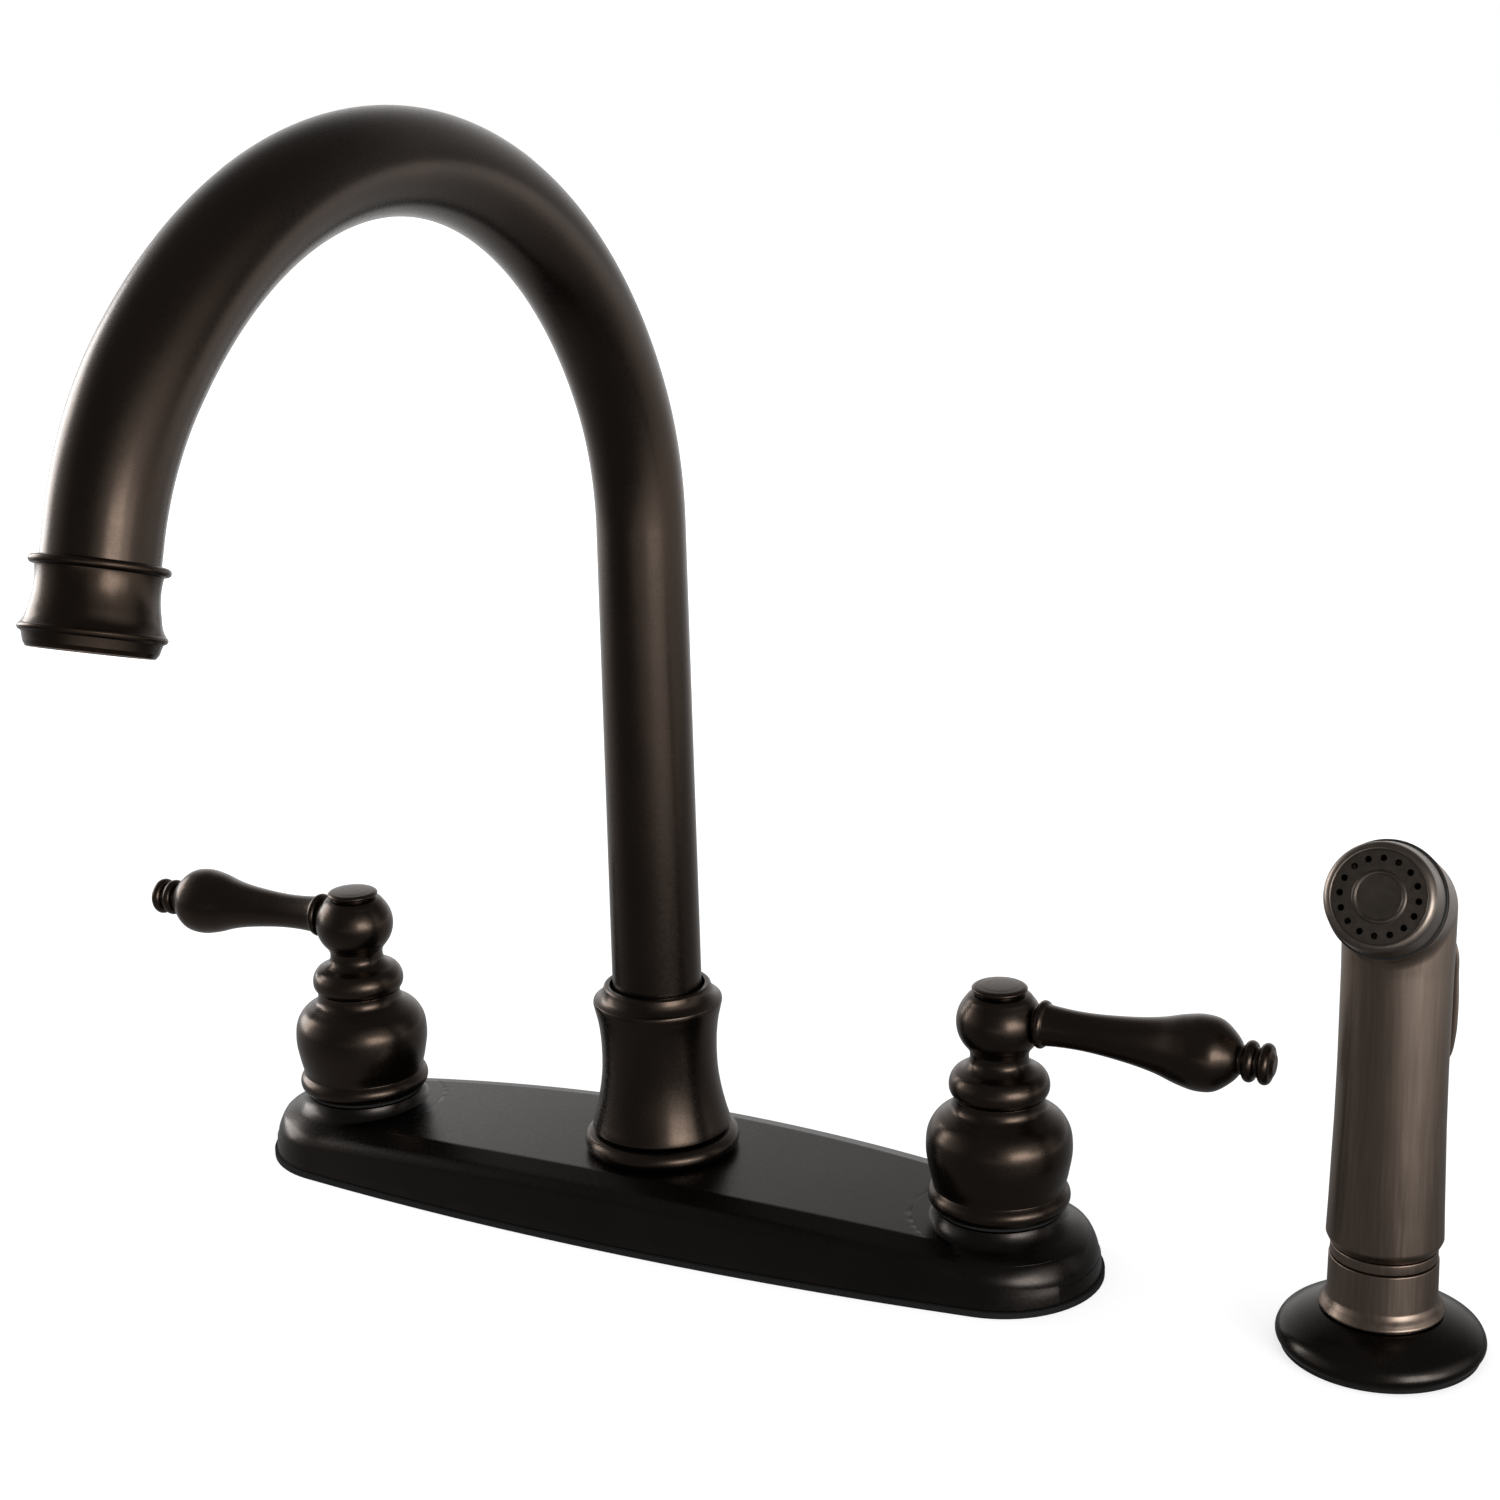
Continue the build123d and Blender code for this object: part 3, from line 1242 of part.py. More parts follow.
with BuildPart() as thumb_lever:
    with BuildSketch(Plane(origin=(spray_x, 0, 0), x_dir=(0, 1, 0), z_dir=(1, 0, 0))):
        with BuildLine():
            half = thumb_thickness / 2
            outer_face = Spline(
                (pin_y + half, pin_z),
                (thumb_neck_back + half, thumb_neck_height),
                (thumb_upper_back + half, thumb_upper_height),
                (thumb_mid_back + half, thumb_mid_height),
                (thumb_tip_back + half, thumb_tip_height),
            )
            inner_face = Spline(
                (pin_y - half, pin_z - half),
                (thumb_neck_back - half, thumb_neck_height - half),
                (thumb_upper_back - half, thumb_upper_height),
                (thumb_mid_back - half, thumb_mid_height),
                (thumb_tip_back - half, thumb_tip_height),
            )
            Line(outer_face @ 1, inner_face @ 1)
            Line(outer_face @ 0, inner_face @ 0)
        make_face()
    extrude(amount=thumb_half_width, both=True)
    with BuildSketch(upright(spray_x)):
        with BuildLine():
            shoulder_height = pin_z - 2 * thumb_barrel_radius
            Line((-thumb_barrel_half, pin_z + lug_radius), (thumb_barrel_half, pin_z + lug_radius))
            Line((thumb_barrel_half, pin_z + lug_radius), (thumb_barrel_half, shoulder_height))
            Spline(
                (thumb_barrel_half, shoulder_height),
                (thumb_half_width, thumb_mid_height),
                (thumb_tip_half_width, thumb_tip_height + thumb_tip_rise),
                (0, thumb_tip_height),
                tangents=((1, -2), (-1, 0)),
            )
            Spline(
                (0, thumb_tip_height),
                (-thumb_tip_half_width, thumb_tip_height + thumb_tip_rise),
                (-thumb_half_width, thumb_mid_height),
                (-thumb_barrel_half, shoulder_height),
                tangents=((-1, 0), (1, 2)),
            )
            Line((-thumb_barrel_half, shoulder_height), (-thumb_barrel_half, pin_z + lug_radius))
        make_face()
    extrude(amount=2 * thumb_tip_back, both=True, mode=Mode.INTERSECT)
    with BuildSketch(Plane(origin=(spray_x, pin_y, pin_z), x_dir=(0, 1, 0), z_dir=(1, 0, 0))):
        Circle(thumb_barrel_radius)
    extrude(amount=thumb_barrel_half, both=True)
    with BuildSketch(Plane(origin=(spray_x, pin_y, pin_z), x_dir=(0, 1, 0), z_dir=(1, 0, 0))):
        Circle(pin_radius + fit_gap)
    extrude(amount=thumb_barrel_half, both=True, mode=Mode.SUBTRACT)
save(thumb_lever, "thumb_lever")
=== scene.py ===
import math

import bmesh
import bpy
from mathutils import Matrix, Vector


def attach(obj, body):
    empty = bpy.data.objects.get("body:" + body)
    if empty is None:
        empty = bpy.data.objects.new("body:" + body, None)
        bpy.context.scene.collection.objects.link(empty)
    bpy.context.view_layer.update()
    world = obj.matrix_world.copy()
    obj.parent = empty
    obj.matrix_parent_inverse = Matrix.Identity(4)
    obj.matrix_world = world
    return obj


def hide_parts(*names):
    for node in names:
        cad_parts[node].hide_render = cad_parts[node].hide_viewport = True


# Two handle kitchen faucet in rubbed bronze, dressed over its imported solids.
# Sizes are millimetres until a piece is finished, when they become metres.

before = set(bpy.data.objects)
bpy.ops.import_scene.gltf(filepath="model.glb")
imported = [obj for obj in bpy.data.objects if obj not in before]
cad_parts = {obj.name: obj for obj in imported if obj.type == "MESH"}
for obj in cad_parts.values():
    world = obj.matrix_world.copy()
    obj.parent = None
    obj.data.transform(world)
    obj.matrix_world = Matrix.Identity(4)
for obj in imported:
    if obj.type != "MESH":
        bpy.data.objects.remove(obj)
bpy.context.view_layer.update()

HANDLE = 101.6  # from the spout's axis to a handle's axis
SPRAY = 203.2  # from the spout's axis to the hand spray's axis
ROUND = 144  # steps round a turned piece
ON_AXIS = 1e-6  # a radius below this is a point on the axis
SAME_SPOT = 0.0004  # corners nearer to each other than this become one
FULL_RUB = 2.2  # bend of an outline, per millimetre, at which an edge is fully rubbed


# ---- Outlines of turned pieces ----

def flowing(points, start=None, end=None, steps=10):
    """A smooth line through measured points, leaving and arriving along given directions."""
    knots = [Vector((p[0], p[1])) for p in points]
    spans = [(b - a).length for a, b in zip(knots, knots[1:])]
    slopes = []
    for i, knot in enumerate(knots):
        if i == 0:
            slope = Vector(start).normalized() if start else (knots[1] - knot) / spans[0]
        elif i == len(knots) - 1:
            slope = Vector(end).normalized() if end else (knot - knots[-2]) / spans[-1]
        else:
            before, after = spans[i - 1], spans[i]
            slope = ((knot - knots[i - 1]) / before * after + (knots[i + 1] - knot) / after * before)
            slope = slope / (before + after)
        slopes.append(slope)
    line = []
    for i, span in enumerate(spans):
        last = i == len(spans) - 1
        for k in range(steps + (1 if last else 0)):
            t = k / steps
            h00 = 2 * t**3 - 3 * t**2 + 1
            h10 = t**3 - 2 * t**2 + t
            h01 = -2 * t**3 + 3 * t**2
            h11 = t**3 - t**2
            line.append(knots[i] * h00 + slopes[i] * span * h10
                        + knots[i + 1] * h01 + slopes[i + 1] * span * h11)
    return [(p.x, p.y) for p in line]


def arc(x, y, radius, start, turn, steps):
    """Points of a circular arc round a centre, its two ends with them."""
    angles = [start + turn * k / steps for k in range(steps + 1)]
    return [(x + radius * math.cos(angle), y + radius * math.sin(angle)) for angle in angles]


def bulge(first, top, last, steps=8):
    """Part of a circle through three points, as a bead or a rounded rim."""
    (ax, ay), (bx, by), (cx, cy) = first, top, last
    d = 2 * (ax * (by - cy) + bx * (cy - ay) + cx * (ay - by))
    ux = ((ax**2 + ay**2) * (by - cy) + (bx**2 + by**2) * (cy - ay) + (cx**2 + cy**2) * (ay - by)) / d
    uy = ((ax**2 + ay**2) * (cx - bx) + (bx**2 + by**2) * (ax - cx) + (cx**2 + cy**2) * (bx - ax)) / d
    radius = math.hypot(ax - ux, ay - uy)
    a0 = math.atan2(ay - uy, ax - ux)
    a1 = math.atan2(by - uy, bx - ux)
    a2 = math.atan2(cy - uy, cx - ux)
    turn = (a2 - a0) % math.tau
    if (a1 - a0) % math.tau > turn:
        turn -= math.tau
    return arc(ux, uy, radius, a0, turn, steps)


def eased(stations, radius, steps=4):
    """The same outline with its sharp corners rounded to a small radius."""
    count = len(stations)
    line = []
    for i, (x, y) in enumerate(stations):
        here = Vector((x, y))
        before = Vector(stations[i - 1])
        after = Vector(stations[(i + 1) % count])
        into, out = here - before, after - here
        if into.length < ON_AXIS:
            continue
        if x < ON_AXIS or out.length < ON_AXIS or into.angle(out) < math.radians(18):
            line.append((x, y))
            continue
        bend = into.angle(out)
        reach = min(radius * math.tan(bend / 2), into.length * 0.45, out.length * 0.45)
        p0 = here - into.normalized() * reach
        p2 = here + out.normalized() * reach
        for k in range(steps + 1):
            t = k / steps
            p = p0 * (1 - t)**2 + here * 2 * t * (1 - t) + p2 * t**2
            line.append((p.x, p.y))
    return line


def edge_rub(stations):
    """How much each station of an outline stands proud, from 0 on flat stretches to 1 on a sharp rim."""
    count = len(stations)
    area = sum(stations[i - 1][0] * stations[i][1] - stations[i][0] * stations[i - 1][1]
               for i in range(count))
    way = 1 if area > 0 else -1
    rub = []
    for i in range(count):
        here = Vector(stations[i])
        into = here - Vector(stations[i - 1])
        out = Vector(stations[(i + 1) % count]) - here
        if into.length < 1e-7 or out.length < 1e-7:
            rub.append(0.0)
            continue
        turn = way * (into.x * out.y - into.y * out.x) / (into.length * out.length)
        bend = math.asin(max(-1.0, min(1.0, turn))) / (0.5 * (into.length + out.length))
        rub.append(max(0.0, min(1.0, bend / FULL_RUB)))
    return rub


def read_off(line, value):
    """Height of a broken line at a place along it, held level past its ends."""
    for (a, low), (b, high) in zip(line, line[1:]):
        if value <= b:
            return low + (high - low) * max(0.0, value - a) / (b - a)
    return line[-1][1]


# ---- Making meshes ----

def in_scene(name, data):
    """A new object of the scene that holds a mesh, a lamp or a camera."""
    made = bpy.data.objects.new(name, data)
    bpy.context.scene.collection.objects.link(made)
    return made


def finish_mesh(name, bm, sharp=38.0):
    """Closes up a mesh, turns its faces outwards and brings it to metres."""
    bmesh.ops.remove_doubles(bm, verts=bm.verts, dist=SAME_SPOT)
    bmesh.ops.recalc_face_normals(bm, faces=bm.faces)
    for face in bm.faces:
        face.smooth = True
    bmesh.ops.scale(bm, vec=(0.001, 0.001, 0.001), verts=bm.verts)
    mesh = bpy.data.meshes.new(name)
    bm.to_mesh(mesh)
    bm.free()
    mesh.set_sharp_from_angle(angle=math.radians(sharp))
    return in_scene(name, mesh)


def new_shape():
    """An empty mesh with room for the amount of rubbing on its edges."""
    bm = bmesh.new()
    bm.verts.layers.float.new("rub")
    return bm


def add_verts(bm, spots, rubs):
    """New vertices, each with how much it is rubbed."""
    layer = bm.verts.layers.float["rub"]
    made = []
    for spot, worn in zip(spots, rubs):
        vert = bm.verts.new(spot)
        vert[layer] = worn
        made.append(vert)
    return made


def full_turn(steps):
    """Cosine and sine at every step of a full turn."""
    return [(math.cos(math.tau * k / steps), math.sin(math.tau * k / steps)) for k in range(steps)]


def add_face(bm, *corners):
    """A face between corners, of which some may fall together."""
    apart = list(dict.fromkeys(corners))
    if len(apart) > 2:
        bm.faces.new(apart)


def band(bm, low, high):
    """Faces between two closed rings."""
    for k in range(len(low)):
        n = (k + 1) % len(low)
        add_face(bm, low[k], low[n], high[n], high[k])


def turn_on(bm, stations, place, around=ROUND, edge_colour_from=None):
    """Adds a turned body: stations are (radius, height), place carries local +Z to its axis.

    Where a height is given for this, the edge colour is kept almost wholly to stations above it.
    """
    rub = edge_rub(stations)
    if edge_colour_from is not None:
        rub = [worn if height > edge_colour_from else 0.04 * worn
               for worn, (radius, height) in zip(rub, stations)]
    rings = []
    for (radius, height), worn in zip(stations, rub):
        if radius < ON_AXIS:
            rings.append(add_verts(bm, [place @ Vector((0, 0, height))], [worn]) * around)
            continue
        spots = [place @ Vector((radius * c, radius * s, height)) for c, s in full_turn(around)]
        rings.append(add_verts(bm, spots, [worn] * around))
    for low, high in zip(rings[-1:] + rings, rings):
        band(bm, low, high)


def turned(name, stations, place, around=ROUND, soften=0.35, sharp=38.0, edge_colour_from=None):
    """A whole piece turned from one closed outline."""
    bm = new_shape()
    turn_on(bm, eased(stations, soften), place, around, edge_colour_from)
    return finish_mesh(name, bm, sharp)


def standing(x, y=0.0, z=0.0):
    """Place of a piece turned about a vertical axis."""
    return Matrix.Translation((x, y, z))


def place_of(x_axis, y_axis, z_axis, origin):
    """A place from its axes and its origin."""
    place = Matrix((x_axis, y_axis, z_axis)).transposed().to_4x4()
    place.translation = origin
    return place


def along(origin, direction):
    """Place of a piece turned about any axis, with its local X kept level."""
    axis = Vector(direction).normalized()
    side = Vector((1, 0, 0))
    if abs(axis.dot(side)) > 0.9:
        side = Vector((0, 1, 0))
    side = (side - axis * side.dot(axis)).normalized()
    return place_of(side, axis.cross(side), axis, origin)


# ---- Finishes: effects that several of them share ----

def feed(tree, socket, source):
    """Links an input to an output, or gives it a plain value."""
    if isinstance(source, bpy.types.NodeSocket):
        tree.links.new(source, socket)
    else:
        socket.default_value = source


def add_node(tree, kind, inputs, **settings):
    """A new node with its settings, and with values or sockets for its inputs."""
    node = tree.nodes.new(kind)
    for key, value in settings.items():
        setattr(node, key, value)
    for key, source in inputs.items():
        feed(tree, node.inputs[key], source)
    return node


def add_sockets(tree, way, labels):
    """Named inputs or outputs of a node group: a kind for every label."""
    for label, kind in labels.items():
        tree.interface.new_socket(label, in_out=way, socket_type="NodeSocket" + kind)


def effect(name, inputs):
    """A node group with named inputs that gives out a colour, a roughness and a height."""
    group = bpy.data.node_groups.new(name, "ShaderNodeTree")
    add_sockets(group, "INPUT", inputs)
    add_sockets(group, "OUTPUT", {"Color": "Color", "Roughness": "Float", "Height": "Float"})
    place = group.nodes.new("ShaderNodeTexCoord").outputs["Object"]
    return group, group.nodes.new("NodeGroupInput").outputs, place


def blend(tree, factor, first, second):
    """Mixes two colours inside a tree and gives the result's socket."""
    return add_node(tree, "ShaderNodeMix", {0: factor, 6: first, 7: second}, data_type="RGBA").outputs[2]


def spread(tree, source, from_low, from_high, to_low, to_high):
    """Maps one range of a value to another, without going past its ends."""
    return add_node(tree, "ShaderNodeMapRange", {
        "Value": source, "From Min": from_low, "From Max": from_high,
        "To Min": to_low, "To Max": to_high}).outputs["Result"]


def sum_of(tree, operation, first, second):
    """One sum between two values of a tree."""
    return add_node(tree, "ShaderNodeMath", {0: first, 1: second}, operation=operation).outputs[0]


def cloud(tree, place, scale, detail, rough=0.55):
    """Soft noise over the piece's own coordinates."""
    return add_node(tree, "ShaderNodeTexNoise", {
        "Scale": scale, "Detail": detail, "Roughness": rough, "Vector": place}).outputs["Fac"]


def rubbed_patina():
    """Oil rubbed colour: dark skin, warmer clouds in it, and copper showing where edges are rubbed."""
    group, given, place = effect("Rubbed patina", {
        "Skin": "Color", "Warm": "Color", "Worn": "Color", "Cloud Amount": "Float",
        "Wear Amount": "Float", "Gloss Low": "Float", "Gloss High": "Float"})
    fine = cloud(group, place, 900.0, 3.0, 0.65)
    grit = cloud(group, place, 3800.0, 2.0, 0.7)
    patch = spread(group, cloud(group, place, 42.0, 4.0), 0.38, 0.66, 0.0, 1.0)
    patch = sum_of(group, "MULTIPLY", patch, given["Cloud Amount"])
    skin = blend(group, patch, given["Skin"], given["Warm"])
    rub = add_node(group, "ShaderNodeAttribute", {}, attribute_name="rub").outputs["Fac"]
    worn = sum_of(group, "MULTIPLY", rub, spread(group, fine, 0.35, 0.7, 0.35, 1.0))
    worn = sum_of(group, "MULTIPLY", worn, given["Wear Amount"])
    worn = spread(group, worn, 0.0, 1.0, 0.0, 1.0)
    relief = sum_of(group, "ADD", sum_of(group, "MULTIPLY", grit, 0.5), sum_of(group, "MULTIPLY", fine, 0.5))
    add_node(group, "NodeGroupOutput", {
        "Color": blend(group, worn, skin, given["Worn"]),
        "Roughness": spread(group, fine, 0.3, 0.7, given["Gloss Low"], given["Gloss High"]),
        "Height": relief})
    return group


def drawn_grain():
    """Fine streaks along one direction, as polishing or plating leaves them, and small specks."""
    group, given, place = effect("Drawn grain", {
        "Base": "Color", "Streak": "Color", "Speck": "Color", "Stretch": "Vector", "Streak Amount": "Float",
        "Speck Amount": "Float", "Gloss Low": "Float", "Gloss High": "Float"})
    stretch = add_node(group, "ShaderNodeMapping", {"Vector": place, "Scale": given["Stretch"]})
    streak = cloud(group, stretch.outputs["Vector"], 1.0, 4.0, 0.6)
    amount = spread(group, streak, 0.35, 0.68, 0.0, 1.0)
    amount = sum_of(group, "MULTIPLY", amount, given["Streak Amount"])
    broad = spread(group, cloud(group, place, 60.0, 3.0), 0.3, 0.7, 0.55, 1.0)
    skin = blend(group, sum_of(group, "MULTIPLY", amount, broad), given["Base"], given["Streak"])
    flecks = add_node(group, "ShaderNodeTexVoronoi", {"Scale": 420.0, "Vector": place})
    dots = spread(group, flecks.outputs["Distance"], 0.10, 0.16, 1.0, 0.0)
    sparse = spread(group, cloud(group, place, 700.0, 1.0), 0.60, 0.64, 0.0, 1.0)
    dots = sum_of(group, "MULTIPLY", sum_of(group, "MULTIPLY", dots, sparse), given["Speck Amount"])
    add_node(group, "NodeGroupOutput", {
        "Color": blend(group, dots, skin, given["Speck"]),
        "Roughness": spread(group, streak, 0.3, 0.7, given["Gloss Low"], given["Gloss High"]),
        "Height": streak})
    return group


PATINA = rubbed_patina()
GRAIN = drawn_grain()


def new_paint(name):
    """A material with nodes: itself, its tree and its Principled shader."""
    paint = bpy.data.materials.new(name)
    paint.use_nodes = True
    return paint, paint.node_tree, paint.node_tree.nodes["Principled BSDF"]


def material(name, group, colours, values, gloss, metallic, bump, reach, coat, coat_roughness, level):
    """A finish: one shared effect with this finish's own values, into a Principled shader."""
    finish, tree, shader = new_paint(name)
    values = {**values, "Gloss Low": gloss[0], "Gloss High": gloss[1]}
    values.update({label: (*colour, 1.0) for label, colour in colours.items()})
    part = add_node(tree, "ShaderNodeGroup", {})
    part.node_tree = group
    for label, value in values.items():
        feed(tree, part.inputs[label], value)
    relief = add_node(tree, "ShaderNodeBump", {
        "Strength": bump, "Distance": reach, "Height": part.outputs["Height"]})
    for label, source in (("Metallic", metallic), ("Specular IOR Level", level), ("Coat Weight", coat),
                          ("Coat Roughness", coat_roughness), ("Base Color", part.outputs["Color"]),
                          ("Roughness", part.outputs["Roughness"]), ("Normal", relief.outputs["Normal"])):
        feed(tree, shader.inputs[label], source)
    finish.diffuse_color = (*list(colours.values())[0], 1)
    return finish


def rubbed(name, skin, warm, worn, clouds, wear, gloss, bump, coat=0.0, coat_roughness=0.2):
    """A bronze with the rubbed patina."""
    return material(name, PATINA, {"Skin": skin, "Warm": warm, "Worn": worn},
                    {"Cloud Amount": clouds, "Wear Amount": wear}, gloss, 1.0, bump, 0.00003,
                    coat, coat_roughness, 0.5)


def grained(name, base, streak, speck, stretch, streaks, specks, gloss, bump, reach, metallic=1.0, level=0.5):
    """A finish with the drawn grain."""
    return material(name, GRAIN, {"Base": base, "Streak": streak, "Speck": speck},
                    {"Stretch": stretch, "Streak Amount": streaks, "Speck Amount": specks}, gloss,
                    metallic, bump, reach, 0.0, 0.2, level)


RUBBED_BRONZE = rubbed(
    "Rubbed bronze", skin=(0.047, 0.034, 0.026), warm=(0.064, 0.045, 0.034), worn=(0.22, 0.15, 0.115),
    clouds=0.55, wear=0.10, gloss=(0.24, 0.31), bump=0.04, coat=0.12, coat_roughness=0.4)
PLATE_BRONZE = rubbed(
    "Plate bronze", skin=(0.034, 0.030, 0.028), warm=(0.046, 0.038, 0.033), worn=(0.13, 0.10, 0.08),
    clouds=0.5, wear=0.12, gloss=(0.25, 0.33), bump=0.07)
HOLDER_BRONZE = rubbed(
    "Holder bronze", skin=(0.034, 0.030, 0.027), warm=(0.050, 0.041, 0.035), worn=(0.13, 0.10, 0.08),
    clouds=0.5, wear=0.12, gloss=(0.22, 0.30), bump=0.04)
# A bright copper line along the outlet's lip: the edge colour at nearly full strength, which the housing keeps
# to its lip's last bends.
MOUTH_BRONZE = rubbed(
    "Mouth bronze", skin=(0.047, 0.034, 0.026), warm=(0.064, 0.045, 0.034), worn=(0.50, 0.27, 0.15),
    clouds=0.55, wear=0.9, gloss=(0.24, 0.32), bump=0.04)
SPRAY_BRONZE = grained(
    "Spray bronze", base=(0.215, 0.165, 0.132), streak=(0.275, 0.212, 0.170), speck=(0.45, 0.39, 0.34),
    stretch=(1100.0, 1100.0, 45.0), streaks=0.7, specks=0.12, gloss=(0.30, 0.38), bump=0.06, reach=0.00004)
BEZEL_BRONZE = grained(
    "Bezel bronze", base=(0.20, 0.165, 0.140), streak=(0.25, 0.21, 0.18), speck=(0.42, 0.36, 0.31),
    stretch=(500.0, 500.0, 500.0), streaks=0.6, specks=0.05, gloss=(0.28, 0.36), bump=0.05, reach=0.00003)
FACE_BRONZE = grained(
    "Face bronze", base=(0.130, 0.108, 0.091), streak=(0.165, 0.138, 0.117), speck=(0.3, 0.25, 0.2),
    stretch=(600.0, 600.0, 600.0), streaks=0.6, specks=0.05, gloss=(0.34, 0.42), bump=0.05, reach=0.00003)
BLACK_PLASTIC = grained(
    "Black plastic", base=(0.010, 0.010, 0.010), streak=(0.018, 0.018, 0.018), speck=(0.04, 0.04, 0.04),
    stretch=(1500.0, 1500.0, 1500.0), streaks=0.5, specks=0.1, gloss=(0.42, 0.55), bump=0.2, reach=0.00005,
    metallic=0.0)
BLACK_RUBBER = grained(
    "Black rubber", base=(0.014, 0.014, 0.014), streak=(0.024, 0.023, 0.022), speck=(0.05, 0.05, 0.05),
    stretch=(1300.0, 1300.0, 1300.0), streaks=0.6, specks=0.15, gloss=(0.65, 0.8), bump=0.3, reach=0.00006,
    metallic=0.0, level=0.12)
WHITE_PLASTIC = grained(
    "White plastic", base=(0.70, 0.70, 0.67), streak=(0.76, 0.76, 0.73), speck=(0.6, 0.6, 0.57),
    stretch=(900.0, 900.0, 900.0), streaks=0.5, specks=0.1, gloss=(0.40, 0.5), bump=0.15, reach=0.00005,
    metallic=0.0)
LAPPED_CERAMIC = grained(
    "Lapped ceramic", base=(0.76, 0.74, 0.68), streak=(0.80, 0.78, 0.73), speck=(0.6, 0.58, 0.52),
    stretch=(1500.0, 1500.0, 1500.0), streaks=0.4, specks=0.1, gloss=(0.10, 0.18), bump=0.05, reach=0.00003,
    metallic=0.0)
MACHINED_BRASS = grained(
    "Machined brass", base=(0.52, 0.37, 0.15), streak=(0.62, 0.46, 0.21), speck=(0.35, 0.24, 0.10),
    stretch=(80.0, 80.0, 2600.0), streaks=0.7, specks=0.15, gloss=(0.22, 0.36), bump=0.12, reach=0.00004)
DRAWN_COPPER = grained(
    "Drawn copper", base=(0.58, 0.27, 0.16), streak=(0.68, 0.34, 0.21), speck=(0.30, 0.14, 0.08),
    stretch=(60.0, 1200.0, 1200.0), streaks=0.6, specks=0.2, gloss=(0.24, 0.38), bump=0.10, reach=0.00004)
BRIGHT_STEEL = grained(
    "Bright steel", base=(0.50, 0.50, 0.50), streak=(0.60, 0.60, 0.61), speck=(0.35, 0.35, 0.35),
    stretch=(90.0, 90.0, 2400.0), streaks=0.6, specks=0.1, gloss=(0.22, 0.34), bump=0.10, reach=0.00004)


def dress(piece, finish):
    """Gives a piece its one finish."""
    piece.data.materials.clear()
    piece.data.materials.append(finish)


def place_piece(piece, finish, body, slot, *nodes):
    """Finishes a piece, sets it on its body and lets it stand for its solids."""
    dress(piece, finish)
    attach(piece, body)
    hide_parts(*nodes)


# ---- Deck plate ----

# The plan: a large arc along each side, and a small one round each end.
END_R = 28.2
MID_HALF = 34.0
LONG_R = (HANDLE**2 + MID_HALF**2 - END_R**2) / (2 * (MID_HALF - END_R))
# The crown: the top's height in the middle and over the handles' axes.
CROWN_MID = 18.8
CROWN_END = 14.2
CROWN_R = (HANDLE**2 + (CROWN_MID - CROWN_END)**2) / (2 * (CROWN_MID - CROWN_END))
# The bosses under the bells, by distance from their axis: the end of the rim, the end of the flank, and
# how softly it meets the plate. Their flare fades in between two insets from the plate's edge.
RIM_END = 18.6
BOSS_END = 30.0
BOSS_SOFTNESS = 0.03
FLARE_FROM, FLARE_FULL = 1.35, 4.15
# The fine collars over the flanks, a little proud at first and dipping into the plate at their edge,
# and the plate's own skin, which is tucked under them as far out as TUCK_END.
COLLAR_IN, COLLAR_DIPS, COLLAR_OUT = 16.9, 22.6, 24.2
COLLAR_RISE, COLLAR_FALL = 0.015, 0.05
TUCK, TUCK_FULL, TUCK_END = 1.1, 20.6, 22.0


def plate_edge(inset, per_end=72, per_side=96):
    """Front half of the plate's plan, from its left tip to its right tip, drawn in by an inset."""
    share = math.atan2(HANDLE, LONG_R - MID_HALF)
    left = arc(-HANDLE, 0, END_R - inset, math.pi, math.pi / 2 - share, per_end)
    front = arc(0, LONG_R - MID_HALF, LONG_R - inset, -math.pi / 2 - share, 2 * share, per_side)
    right = arc(HANDLE, 0, END_R - inset, -math.pi / 2 + share, math.pi / 2 - share, per_end)
    return left[:-1] + front + right[1:]


def crown(x):
    """Height of the plate's top over the middle line."""
    return CROWN_MID - CROWN_R + math.sqrt(CROWN_R**2 - x**2)


BOSS_LINE = flowing([(COLLAR_IN, 18.45), (17.4, 17.1), (18.4, 15.75), (19.8, 14.75), (21.4, 14.0), (23.6, 12.9),
                     (26.5, 11.0), (BOSS_END, 8.0)], start=(0.15, -1), end=(1, -1), steps=6)


def boss_height(reach):
    """Height of a boss's flared flank at a distance from its axis."""
    return read_off(BOSS_LINE, reach) if reach >= BOSS_LINE[0][0] else 16.0


def smooth_step(value, low, high):
    """Soft rise from 0 to 1 between two values."""
    share = max(0.0, min(1.0, (value - low) / (high - low)))
    return share * share * (3 - 2 * share)


def raised(x, y, z, inset):
    """Height of the plate's skin with the nearer boss flowing out into it."""
    reach = math.hypot(abs(x) - HANDLE, y)
    if reach > BOSS_END:
        return z
    flare = boss_height(reach)
    lifted = 0.5 * (z + flare + math.sqrt((z - flare)**2 + BOSS_SOFTNESS))
    return z + (lifted - z) * smooth_step(inset, FLARE_FROM, FLARE_FULL)


def tucked(x, y, z, inset):
    """The plate's skin, kept a little under the fine collars that cover it round the bosses."""
    reach = math.hypot(abs(x) - HANDLE, y)
    return raised(x, y, z, inset) - TUCK * (1 - smooth_step(reach, TUCK_FULL, TUCK_END))


def plate_inset(x, y):
    """How far a place on the plate lies inside the edge of its plan."""
    if abs(x) > HANDLE:
        return END_R - math.hypot(abs(x) - HANDLE, y)
    return LONG_R - math.hypot(x, abs(y) + LONG_R - MID_HALF)


